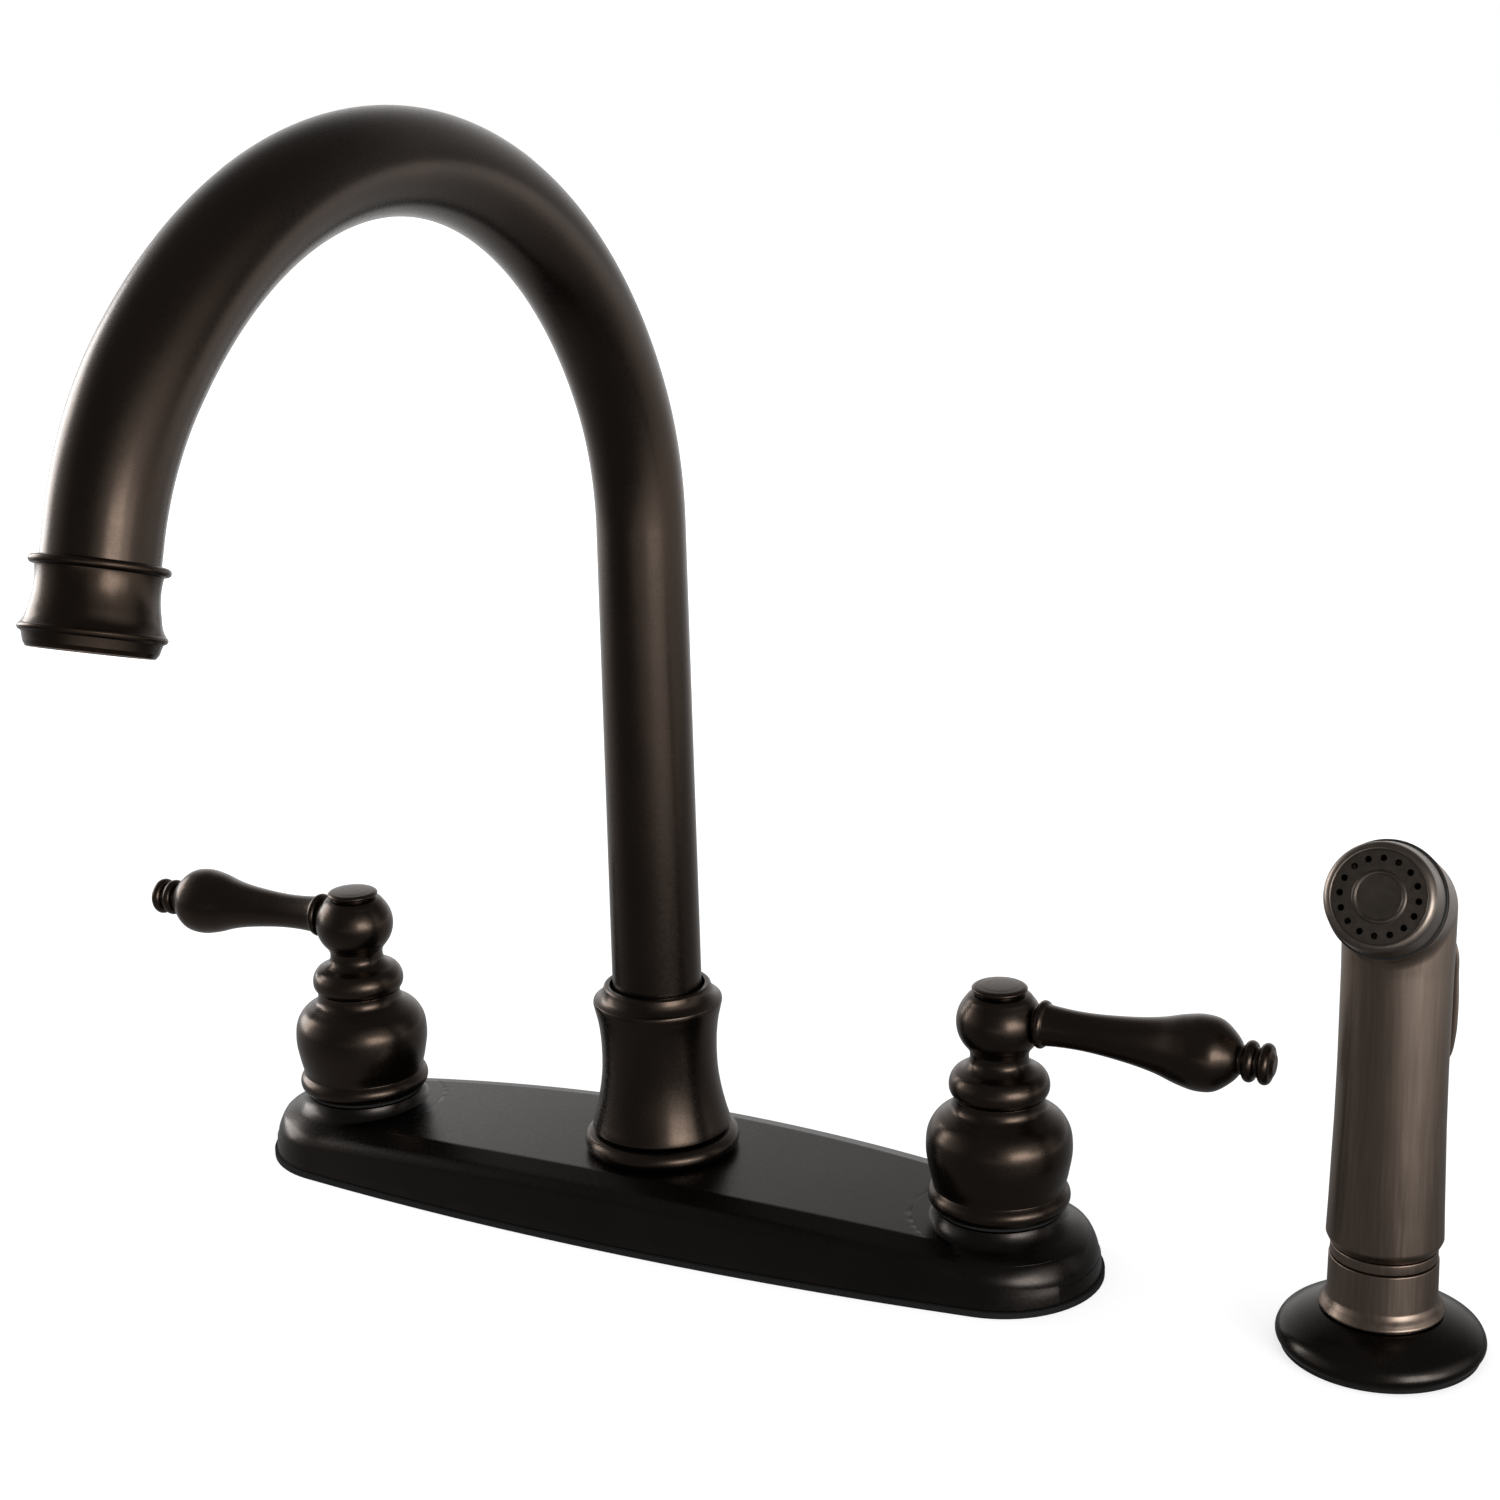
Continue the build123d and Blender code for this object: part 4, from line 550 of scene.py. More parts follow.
def boss_collar(bm, side, level, rings=26):
    """Fine round sheet from a boss's rim out into the plate's top."""
    turn = full_turn(ROUND)
    sheet = []
    for step in range(rings + 1):
        reach = COLLAR_IN + (COLLAR_OUT - COLLAR_IN) * (step / rings)**1.25
        spots = []
        for c, s in turn:
            x, y = side * HANDLE + reach * c, reach * s
            inset = plate_inset(x, y)
            z = raised(x, y, level(x, inset), inset) + COLLAR_RISE
            z -= COLLAR_FALL * smooth_step(reach, COLLAR_DIPS, COLLAR_OUT)
            if reach < RIM_END:
                z = max(z, boss_height(reach))
            spots.append((x, y, z))
        sheet.append(add_verts(bm, spots, [0.0 if step else 0.5] * ROUND))
    under = [[bm.verts.new((side * HANDLE + reach * c, reach * s, z)) for c, s in turn]
             for reach, z in ((16.6, 18.55), (15.6, 18.55), (15.6, 9.4), (COLLAR_OUT, 9.4))]
    loop = under[::-1] + sheet + under[-1:]
    for low, high in zip(loop, loop[1:]):
        for k in range(ROUND):
            n = (k + 1) % ROUND
            bm.faces.new((low[k], high[k], high[n], low[n]))


def plate_skin(bm, sections, bosses=False):
    """A ring of the plan for every section (inset, height function, rub)."""
    rings = []
    for inset, height, worn in sections:
        front = plate_edge(inset)
        back = [(x, -y) for x, y in reversed(front[1:-1])]
        spots = [(x, y, tucked(x, y, height(x), inset) if bosses else height(x)) for x, y in front + back]
        rings.append(add_verts(bm, spots, [worn] * len(spots)))
    for low, high in zip(rings, rings[1:]):
        band(bm, low, high)
    return rings


def sheet_across(bm, ring, height, rows=72, bosses=False):
    """Fills a ring of the plan with strips that run from front to back."""
    half = len(ring) // 2
    columns = []
    for a, b in zip(ring[:half + 1], ring[:1] + ring[:half:-1] + [ring[half]]):
        column = [a] * (rows + 1)
        if a is not b:
            spots = [a.co.lerp(b.co, k / rows) for k in range(1, rows)]
            column[1:] = [bm.verts.new((x, y, tucked(x, y, height(x), 99.0) if bosses else height(x)))
                          for x, y, z in spots] + [b]
        columns.append(column)
    for left, right in zip(columns, columns[1:]):
        for k in range(rows):
            add_face(bm, left[k], right[k], right[k + 1], left[k + 1])


def deck_plate():
    """Crowned plate: drafted wall, broad soft bevel, crisp top edge, hollow below."""
    foot, wall_in, draft = 1.6, 0.8, math.tan(math.radians(4.0))
    bevel_across, bevel_drop, crease, floor_in, sheet = 8.6, 2.6, 3.2, 3.4, 3.8
    soft = crease * 0.95
    shoulder_in = wall_in + (CROWN_END - bevel_drop - foot) * draft
    bm = new_shape()

    def level(z):
        return lambda x: z

    def below(drop):
        return lambda x: crown(x) - drop

    def top_level(x, inset):
        return crown(x) - bevel_drop * max(0.0, 1 - (inset - shoulder_in) / bevel_across)

    sections = [(wall_in + floor_in, level(foot), 0.0), (wall_in + 0.25, level(foot), 0.2),
                (wall_in, level(foot + 0.3), 0.7), (wall_in + 4.0 * draft, level(foot + 4.0), 0.0)]
    for k in range(9):
        t = k / 8
        drop = bevel_drop + crease * (1 - t)**2 - t**2 * crease * 0.95 * bevel_drop / bevel_across
        sections.append((shoulder_in + (t**2) * crease * 0.95, below(drop), 0.12))
    for k in range(1, 8):
        across = soft + (bevel_across - 0.7 - soft) * k / 7
        sections.append((shoulder_in + across, below(bevel_drop * (1 - across / bevel_across)), 0.0))
    for past, drop, worn in ((-0.25, 0.07, 0.5), (0.1, 0.01, 0.5), (0.6, 0.0, 0.0)):
        sections.append((shoulder_in + bevel_across + past, below(drop), worn))
    outer = plate_skin(bm, sections, bosses=True)
    sheet_across(bm, outer[-1], crown, bosses=True)
    inner = plate_skin(bm, [(wall_in + floor_in, level(foot), 0.0), (wall_in + floor_in, below(sheet), 0.0)])
    sheet_across(bm, inner[-1], below(sheet), rows=6)
    piece = finish_mesh("plate_shell", bm, sharp=30.0)

    drills = bmesh.new()
    for x, radius in ((0.0, 15.4), (-HANDLE, 15.6), (HANDLE, 15.6)):
        made = bmesh.ops.create_cone(drills, cap_ends=True, segments=96, radius1=radius / 1000,
                                     radius2=radius / 1000, depth=0.014)
        bmesh.ops.translate(drills, vec=(x / 1000, 0, 0.017), verts=made["verts"])
    drill_mesh = bpy.data.meshes.new("drills")
    drills.to_mesh(drill_mesh)
    drills.free()
    drill = in_scene("drills", drill_mesh)
    cut = piece.modifiers.new("holes", "BOOLEAN")
    cut.operation = "DIFFERENCE"
    cut.solver = "EXACT"
    cut.object = drill
    seen = bpy.context.evaluated_depsgraph_get()
    holed = bpy.data.meshes.new_from_object(piece.evaluated_get(seen))
    piece.modifiers.clear()
    shell = piece.data
    bpy.data.objects.remove(drill)
    bpy.data.meshes.remove(drill_mesh)

    bm = bmesh.new()
    bm.from_mesh(holed)
    bmesh.ops.scale(bm, vec=(1000, 1000, 1000), verts=bm.verts)
    if "rub" not in bm.verts.layers.float:
        bm.verts.layers.float.new("rub")
    for side in (-1, 1):
        boss_collar(bm, side, top_level)
    plate = finish_mesh("deck_plate_top", bm, sharp=30.0)
    bpy.data.objects.remove(piece)
    bpy.data.meshes.remove(shell)
    bpy.data.meshes.remove(holed)
    return plate


place_piece(deck_plate(), PLATE_BRONZE, "fixture", "bronze_metal", "deck_plate")


# ---- Bells, hubs, buttons and levers ----

BELL_FOOT = 20.2
HUB_FOOT = 49.4
BALL = 71.5
LEVER_LIFT = 0.7
BUTTON = 78.9


def bell_outline():
    """Outside and inside of a bell, from its inner foot round to it again."""
    inner = 15.8
    outline = [(inner, 0.0)]
    outline += bulge((17.9, 0.0), (18.95, 2.3), (17.9, 4.6), 12)
    outline += flowing([(17.55, 5.1), (18.5, 9.4), (19.4, 16.0), (18.7, 21.0), (16.7, 24.2), (14.3, 25.9),
                        (12.6, 27.3), (12.1, 29.0), (12.15, 30.3)], start=(0.14, 1), end=(0.1, 1), steps=7)
    outline += [(11.5, 30.4), (11.4, 28.9), (7.9, 28.9), (7.9, 27.2), (10.4, 26.0), (inner, 22.5)]
    return outline


def hub_outline():
    """Hub and ball of a handle, hollow where the stem and the screw go in."""
    outline = [(5.3, 0.0), (11.05, 0.0), (11.05, 1.5)]
    outline += flowing([(12.3, 1.5), (13.0, 2.4), (13.3, 4.4), (12.7, 6.6), (11.9, 7.7), (9.5, 9.0),
                        (7.95, 10.7), (7.7, 12.2), (7.85, 13.4), (8.5, 14.7)],
                       start=(1, 0.3), end=(0.5, 1), steps=5)
    outline += bulge((8.5, 14.7), (11.35, 22.0), (9.0, 27.9), 26)[1:]
    outline += bulge((9.0, 27.9), (8.1, 28.97), (6.9, 29.5), 6)[1:]
    outline += [(4.05, 29.5), (4.05, 16.3), (2.3, 16.3), (2.3, 12.7), (5.3, 12.7)]
    return outline


def lever_outline():
    """Lever from its root in the ball to the end bead, as (radius, distance)."""
    outline = [(0.0, 9.0), (4.4, 9.0), (4.4, 10.7)]
    outline += bulge((5.3, 10.7), (6.35, 11.9), (5.55, 13.1), 10)
    outline += flowing([(5.5, 13.15), (5.1, 17.5), (5.0, 23.0), (5.5, 31.0), (7.35, 43.3), (9.1, 49.5),
                        (9.8, 54.0), (9.2, 58.3), (7.1, 61.4), (3.8, 64.2)],
                       start=(-0.16, 1), end=(-1, 0.45), steps=7)
    outline += bulge((3.8, 65.1), (5.35, 66.65), (3.8, 68.2), 10)
    outline += bulge((3.8, 69.1), (5.35, 70.65), (3.8, 72.2), 10)
    outline += [(2.5, 72.9), (0.0, 72.9)]
    return outline


for side, x, outward in (("hot", -HANDLE, -1), ("cold", HANDLE, 1)):
    body = side + "_handle"
    bell = turned(side + "_bell_shell", bell_outline(), standing(x, 0, BELL_FOOT), soften=0.3)
    place_piece(bell, RUBBED_BRONZE, "fixture", "bronze_metal", side + "_bell")

    hub = turned(side + "_hub_and_ball", hub_outline(), standing(x, 0, HUB_FOOT), soften=0.3)
    place_piece(hub, RUBBED_BRONZE, body, "bronze_metal", side + "_handle_hub")

    droop = math.radians(1.5)
    arm = along((x, 0, BALL + LEVER_LIFT), (outward * math.cos(droop), 0, -math.sin(droop)))
    lever = turned(side + "_lever_arm", lever_outline(), arm, around=112, soften=0.3)
    place_piece(lever, RUBBED_BRONZE, body, "bronze_metal", side + "_lever")

    cap = [(0.0, -4.0), (3.9, -4.0), (3.9, 0.0), (6.1, 0.0), (6.1, 0.65), (6.75, 0.65)]
    cap += flowing([(6.8, 0.7), (7.25, 1.0), (7.3, 1.4), (6.9, 1.8), (5.2, 2.15), (2.6, 2.32), (0.0, 2.36)],
                   start=(1, 0.4), end=(-1, 0.0), steps=6)
    button = turned(side + "_index_cap", cap, standing(x, 0, BUTTON), soften=0.12)
    place_piece(button, RUBBED_BRONZE, body, "bronze_button", side + "_index_button")


# ---- Base ring, collar and spout tube ----

ring_line = [(14.65, 0.0), (20.7, 0.0)] + bulge((20.8, 0.1), (21.84, 2.0), (19.5, 5.2), 16) + [(14.65, 5.2)]
base_ring = turned("base_ring", ring_line, standing(0, 0, CROWN_MID), soften=0.3)
place_piece(base_ring, RUBBED_BRONZE, "fixture", "bronze_metal", "spout_base_ring")

collar_line = [(14.65, 0.0), (18.7, 0.0)]
collar_line += flowing([(19.5, 0.9), (18.55, 4.6), (17.2, 10.6), (16.35, 16.6), (16.13, 22.7), (16.35, 28.0),
                        (16.95, 32.6), (17.75, 36.2), (18.0, 37.6), (17.85, 38.3)],
                       start=(-0.12, 1), end=(-0.5, 1), steps=7)
collar_line += flowing([(17.7, 38.4), (17.0, 38.75), (16.1, 39.5), (15.3, 40.9), (14.9, 42.2)],
                       start=(-1, 0.3), end=(-0.35, 1), steps=6)
collar_line += [(14.5, 42.6), (13.3, 42.6), (13.3, 30.0), (14.65, 30.0)]
collar = turned("spout_collar_body", collar_line, standing(0, 0, 24.4), soften=0.22, sharp=30.0)
place_piece(collar, RUBBED_BRONZE, "fixture", "bronze_metal", "spout_collar")


def spout_path():
    """Centre line of the spout as (y, z, heading, radius), heading 0 upwards and growing to the front."""
    foot, middle, top, wide, slim = 44.0, 60.0, 195.7, 12.45, 11.9
    stops = [(0.0, foot + (middle - foot) * k / 8, 0.0, wide) for k in range(9)]
    stops += [(0.0, middle + (top - middle) * k / 40, 0.0, wide - 0.55 * k / 40) for k in range(1, 41)]
    y, z, heading, radius = 0.0, top, 0.0, slim
    for bend, degrees, last in ((80.0, 26.0, slim), (113.6, 111.5, slim), (70.0, 25.5, 11.4)):
        steps = max(8, round(degrees / 1.1))
        first, start = heading, radius
        centre = (y - bend * math.cos(first), z - bend * math.sin(first))
        for k in range(1, steps + 1):
            heading = first + math.radians(degrees) * k / steps
            radius = start + (last - start) * k / steps
            y = centre[0] + bend * math.cos(heading)
            z = centre[1] + bend * math.sin(heading)
            stops.append((y, z, heading, radius))
    for reach in (2.0, 4.0, 6.0):
        stops.append((y - math.sin(heading) * reach, z + math.cos(heading) * reach, heading, radius))
    return stops


def spout_tube():
    """Bent tube with its bore, narrowing towards the outlet."""
    bm = new_shape()
    skins = []
    for wall in (0.0, 1.6):
        rings = []
        for y, z, heading, radius in spout_path():
            across = Vector((0, math.cos(heading), math.sin(heading)))
            rings.append([bm.verts.new(Vector((0, y, z)) + (Vector((c, 0, 0)) + across * s) * (radius - wall))
                          for c, s in full_turn(112)])
        skins.append(rings)
    for rings in skins:
        for low, high in zip(rings, rings[1:]):
            band(bm, low, high)
    for end in (0, -1):
        band(bm, skins[0][end], skins[1][end])
    return finish_mesh("spout_arch", bm, sharp=50.0)


place_piece(spout_tube(), RUBBED_BRONZE, "spout", "bronze_metal", "spout_tube")

last_stop = spout_path()[-1]
TUBE_END = (0.0, last_stop[0], last_stop[1])
OUTLET = (0.0, -math.sin(last_stop[2]), math.cos(last_stop[2]))
outlet_place = along(TUBE_END, OUTLET)

housing_line = [(8.45, -5.5), (9.75, -5.5), (9.75, 0.0), (12.1, 0.0)]
housing_line += bulge((12.35, 0.1), (13.35, 0.95), (12.3, 1.8), 10)
housing_line += flowing([(12.05, 1.9), (11.8, 5.4), (12.3, 9.2), (13.3, 12.6), (13.95, 13.4)],
                        start=(-0.2, 1), end=(1, 0.6), steps=8)
housing_line += [(14.1, 13.8), (13.9, 14.35), (13.2, 14.7), (12.7, 16.6), (12.1, 17.5)]
housing_line += [(11.4, 17.6), (10.2, 17.6), (10.2, 6.0), (8.45, 6.0)]
# Only the lip's bends past 16.9 mm take the bright copper line.
housing = turned("aerator_shell", housing_line, outlet_place, soften=0.2, sharp=34.0, edge_colour_from=16.9)
place_piece(housing, MOUTH_BRONZE, "spout", "bronze_metal", "aerator_housing")


# ---- Perforations, repeated round an axis by Geometry Nodes ----

def ring_points(tree, given, turn):
    """Points of one ring: turn 1, 2, 3 ... outwards."""
    wider = sum_of(tree, "MULTIPLY", given["Step"], turn - 1)
    return add_node(tree, "GeometryNodeMeshCircle", {
        "Vertices": sum_of(tree, "MULTIPLY", given["Per Ring"], turn),
        "Radius": sum_of(tree, "ADD", wider, given["Start"])}, fill_type="NONE").outputs["Mesh"]


def drilled_tree(rings, centre_hole):
    """A tree that drills holes through a disc, in rings of points about its local Z axis.

    The rings hold Per Ring, 2 x Per Ring, ... holes, Step apart from Start outwards.
    """
    tree = bpy.data.node_groups.new("Drilled disc", "GeometryNodeTree")
    add_sockets(tree, "INPUT", {"Geometry": "Geometry", "Per Ring": "Int", "Start": "Float",
                                "Step": "Float", "Size": "Float", "Length": "Float", "Finish": "Material"})
    add_sockets(tree, "OUTPUT", {"Geometry": "Geometry"})
    given = tree.nodes.new("NodeGroupInput").outputs
    gather = tree.nodes.new("GeometryNodeJoinGeometry")
    for turn in range(1, rings + 1):
        tree.links.new(ring_points(tree, given, turn), gather.inputs[0])
    if centre_hole:
        middle = add_node(tree, "GeometryNodeMeshLine", {"Count": 1})
        tree.links.new(middle.outputs["Mesh"], gather.inputs[0])
    drill = add_node(tree, "GeometryNodeMeshCylinder", {
        "Vertices": 20, "Radius": given["Size"], "Depth": given["Length"]})
    spots = add_node(tree, "GeometryNodeInstanceOnPoints", {
        "Points": gather.outputs[0], "Instance": drill.outputs["Mesh"]})
    solid = add_node(tree, "GeometryNodeRealizeInstances", {0: spots.outputs["Instances"]})
    cut = add_node(tree, "GeometryNodeMeshBoolean", {
        "Mesh 1": given["Geometry"], "Mesh 2": solid.outputs[0]}, operation="DIFFERENCE")
    whole = add_node(tree, "GeometryNodeRealizeInstances", {0: cut.outputs["Mesh"]})
    finish = add_node(tree, "GeometryNodeSetMaterial", {
        "Geometry": whole.outputs[0], "Material": given["Finish"]})
    add_node(tree, "NodeGroupOutput", {"Geometry": finish.outputs["Geometry"]})
    return tree


def drilled(name, tree, base, place, values):
    """Runs a tree on a base mesh in its own frame and keeps a plain mesh in the row frame."""
    piece = in_scene(name, base)
    run = piece.modifiers.new(name, "NODES")
    run.node_group = tree
    for socket in tree.interface.items_tree:
        if socket.in_out == "INPUT" and socket.name in values:
            run[socket.identifier] = values[socket.name]
    seen = bpy.context.evaluated_depsgraph_get()
    mesh = bpy.data.meshes.new_from_object(piece.evaluated_get(seen))
    piece.modifiers.clear()
    piece.data = mesh
    metres = place.copy()
    metres.translation = metres.translation / 1000
    mesh.transform(metres)
    bm = bmesh.new()
    bm.from_mesh(mesh)
    bmesh.ops.remove_doubles(bm, verts=bm.verts, dist=0.0000008)
    bmesh.ops.recalc_face_normals(bm, faces=bm.faces)
    for face in bm.faces:
        face.smooth = True
    bm.to_mesh(mesh)
    bm.free()
    mesh.set_sharp_from_angle(angle=math.radians(34))
    return piece

def disc_mesh(name, stations, around=96):
    """A turned blank in its own frame, in metres, ready to be drilled."""
    bm = new_shape()
    turn_on(bm, eased(stations, 0.12), Matrix.Identity(4), around)
    blank = finish_mesh(name, bm)
    mesh = blank.data
    bpy.data.objects.remove(blank)
    return mesh


insert_blank = disc_mesh("insert_blank", [
    (0.0, 14.6), (8.95, 14.6), (8.95, 7.6), (10.15, 7.6), (10.15, 16.2), (0.0, 16.2)])
insert_blank.transform(Matrix.Translation((0, 0, -0.0154)))
insert_place = outlet_place @ Matrix.Translation((0, 0, 15.4))
insert = drilled("aerator_screen", drilled_tree(3, True), insert_blank, insert_place,
                  {"Per Ring": 6, "Start": 0.0025, "Step": 0.0025, "Size": 0.00075, "Length": 0.006,
                   "Finish": BLACK_PLASTIC})
place_piece(insert, BLACK_PLASTIC, "spout", "black_plastic", "aerator_insert")


# ---- Hand spray holder and coupling ----

base_line = [(14.05, 1.0), (24.6, 1.0)]
base_line += flowing([(24.9, 1.1), (25.8, 2.8), (25.2, 5.0), (22.0, 7.7), (18.0, 9.6), (15.4, 10.5)],
                     start=(0.8, 1), end=(-1, 0.3), steps=8)
base_line += [(14.05, 10.5)]
holder_base = turned("holder_base_dome", base_line, standing(SPRAY), soften=0.25)
place_piece(holder_base, HOLDER_BRONZE, "fixture", "bronze_dark", "holder_base")

holder_line = [(11.2, -42.0), (14.0, -42.0), (14.0, 11.0), (15.3, 11.0)]
holder_line += flowing([(15.4, 11.3), (14.9, 12.4), (14.0, 13.7), (13.55, 14.9)],
                       start=(0.1, 1), end=(-0.15, 1), steps=6)
holder_line += [(13.4, 25.0), (11.2, 25.0)]
holder = turned("holder_sleeve", holder_line, standing(SPRAY), soften=0.3)
place_piece(holder, SPRAY_BRONZE, "fixture", "bronze_plastic", "spray_holder")

coupling_line = [(3.6, 4.3), (8.6, 4.3), (10.9, 25.3), (13.1, 25.3), (13.1, 28.0), (6.0, 28.0),
                 (6.0, 38.0), (3.6, 38.0)]
coupling = turned("coupling_ring", coupling_line, standing(SPRAY), soften=0.3)
place_piece(coupling, SPRAY_BRONZE, "spray_coupling", "bronze_plastic", "spray_coupling")


# ---- Hand spray: grip and head in one flowing body ----

HEAD_TILT = math.radians(22.0)
ELBOW_Z = 126.0 - 25.0 * math.tan(HEAD_TILT)
HEAD_DIR = Vector((0, -math.cos(HEAD_TILT), math.sin(HEAD_TILT)))
FACE_AT = 25.0 / math.cos(HEAD_TILT)
SEAM_WIDE = 0.8
SEAM_AT = FACE_AT - 8.8 - SEAM_WIDE
ELBOW_R = 13.3
HEAD_R = 14.3
TURN = math.radians(68.0)
PIN_AT = 16.3
LUG_ANGLE = math.radians(-4.0)
LUG_R = 2.6
GRIP_TOP = 100.0
GRIP_LINE = [(30.7, 14.3), (39.0, 14.0), (50.0, 13.7), (60.6, 13.4), (75.0, 13.2), (104.0, 13.2)]


def grip_radius(z):
    """Half the thickness of the grip at a height."""
    return read_off(GRIP_LINE, z) if z <= GRIP_LINE[-1][0] else ELBOW_R


def spray_body():
    """Every line of the skin runs up the grip, rounds the elbow and leaves along the head."""
    bm = new_shape()
    arc_steps, slope = 22, math.tan(TURN / 2)
    foot = [(28.3, 9.0, 0.0), (28.3, 12.9, 0.0), (29.1, 13.55, 0.6), (29.9, 13.95, 0.6), (30.45, 14.2, 0.6)]
    foot += [(z, grip_radius(z), 0.0) for z in [30.7, 31.2] + [31.2 + k / 26 * 68.8 for k in range(1, 27)]]
    across = Vector((0, math.cos(TURN), math.sin(TURN)))
    tip = Vector((SPRAY, 0, ELBOW_Z)) + HEAD_DIR * SEAM_AT
    rows = []
    for outside, sideways in full_turn(144):

        def rim(radius):
            return tip + Vector((radius * sideways, 0, 0)) + across * (radius * outside)

        line = [((SPRAY + r * sideways, r * outside, z), worn) for z, r, worn in foot]
        a = ELBOW_R * outside
        hollow = 4.6 * min(1.0, -a / 9.0)
        bend, centre_y, start_z = a, 0.0, ELBOW_Z
        if a < 0:
            bend, centre_y, start_z = hollow, a - hollow, ELBOW_Z + a * slope - hollow * slope
        for step in (0.35, 0.7):
            z = GRIP_TOP + (start_z - GRIP_TOP) * step
            r = grip_radius(z)
            line.append(((SPRAY + r * sideways, r * outside, z), 0.0))
        for step in range(arc_steps + 1):
            swing = TURN * step / arc_steps
            line.append(((SPRAY + ELBOW_R * sideways, centre_y + bend * math.cos(swing),
                          start_z + bend * math.sin(swing)), 0.0))
        last = Vector(line[-1][0])
        line += [(last.lerp(rim(HEAD_R), step), 0.0) for step in (0.25, 0.5, 0.75, 0.93)]
        line += [(rim(HEAD_R), 0.5), (rim(13.2), 0.0), (rim(11.25), 0.0), (rim(11.25) + HEAD_DIR, 0.0)]
        rows.append(add_verts(bm, [spot for spot, worn in line], [worn for spot, worn in line]))
    for left, right in zip(rows, rows[1:] + rows[:1]):
        for i in range(len(left) - 1):
            bm.faces.new((left[i], right[i], right[i + 1], left[i + 1]))
    bm.faces.new([row[0] for row in rows])
    bm.faces.new([row[-1] for row in reversed(rows)])
    return finish_mesh("spray_grip_body", bm, sharp=42.0)


def hinge_lugs():
    """Two small lugs on the head that carry the thumb lever's pin."""
    bm = new_shape()
    outdir = Vector((0, math.cos(LUG_ANGLE), math.sin(LUG_ANGLE)))
    up = Vector((0, -math.sin(LUG_ANGLE), math.cos(LUG_ANGLE)))
    outline = [(9.5, -LUG_R), (PIN_AT, -LUG_R)]
    outline += [(PIN_AT + LUG_R * math.sin(math.pi * k / 12), -LUG_R * math.cos(math.pi * k / 12))
                for k in range(1, 12)]
    outline += [(PIN_AT, LUG_R), (9.5, LUG_R)]
    for outward in (-1, 1):
        sides = []
        for inset, shift in ((0.35, 4.7), (0.0, 5.05), (0.0, 6.95), (0.35, 7.3)):
            ring = []
            for a, b in outline:
                centre = Vector((min(a, PIN_AT), 0))
                pull = (Vector((a, b)) - centre) * (1 - inset / LUG_R)
                spot = Vector((SPRAY + outward * shift, 0, ELBOW_Z)) + outdir * (centre.x + pull.x)
                ring.append(bm.verts.new(spot + up * pull.y))
            sides.append(ring)
        for low, high in zip(sides, sides[1:]):
            band(bm, low, high)
        bm.faces.new(sides[0])
        bm.faces.new(list(reversed(sides[-1])))
    return finish_mesh("lever_lugs", bm)


place_piece(spray_body(), SPRAY_BRONZE, "hand_spray", "bronze_plastic", "spray_grip")
place_piece(hinge_lugs(), SPRAY_BRONZE, "hand_spray", "bronze_plastic", "spray_grip")

head_place = along((SPRAY, 0, ELBOW_Z), HEAD_DIR)
back = SEAM_AT + SEAM_WIDE
seam = turned("seam_ring", [(11.35, SEAM_AT), (14.05, SEAM_AT), (14.05, back), (11.35, back)],
              head_place, soften=0.15)
place_piece(seam, BLACK_PLASTIC, "hand_spray", "black_plastic", "spray_seam_ring")

bezel_line = [(11.35, back), (13.5, back), (13.65, back + 0.6), (13.0, FACE_AT - 1.7)]
bezel_line += bulge((13.0, FACE_AT - 1.7), (12.4, FACE_AT - 0.5), (11.4, FACE_AT), 10)[1:]
bezel_line += [(11.1, FACE_AT - 0.1), (10.9, FACE_AT - 0.5), (11.35, FACE_AT - 0.5)]
bezel = turned("spray_bezel_ring", bezel_line, head_place, soften=0.18, sharp=34.0)
place_piece(bezel, BEZEL_BRONZE, "hand_spray", "satin_plastic", "spray_bezel")

face_blank = disc_mesh("face_blank", [
    (0.0, -2.6), (11.3, -2.6), (11.3, 0.0), (6.3, 0.0), (6.0, 0.34), (5.7, 0.4), (5.4, 0.3),
    (5.2, 0.02), (0.0, 0.0)])
face_place = head_place @ Matrix.Translation((0, 0, FACE_AT - 0.5))
face = drilled("spray_face_disc", drilled_tree(1, False), face_blank, face_place,
                {"Per Ring": 16, "Start": 0.00903, "Step": 0.0, "Size": 0.0008, "Length": 0.007,
                 "Finish": FACE_BRONZE})
place_piece(face, FACE_BRONZE, "hand_spray", "satin_plastic", "spray_face")


# ---- Thumb lever ----

PIN_Y = PIN_AT * math.cos(LUG_ANGLE)
PIN_Z = ELBOW_Z + PIN_AT * math.sin(LUG_ANGLE)


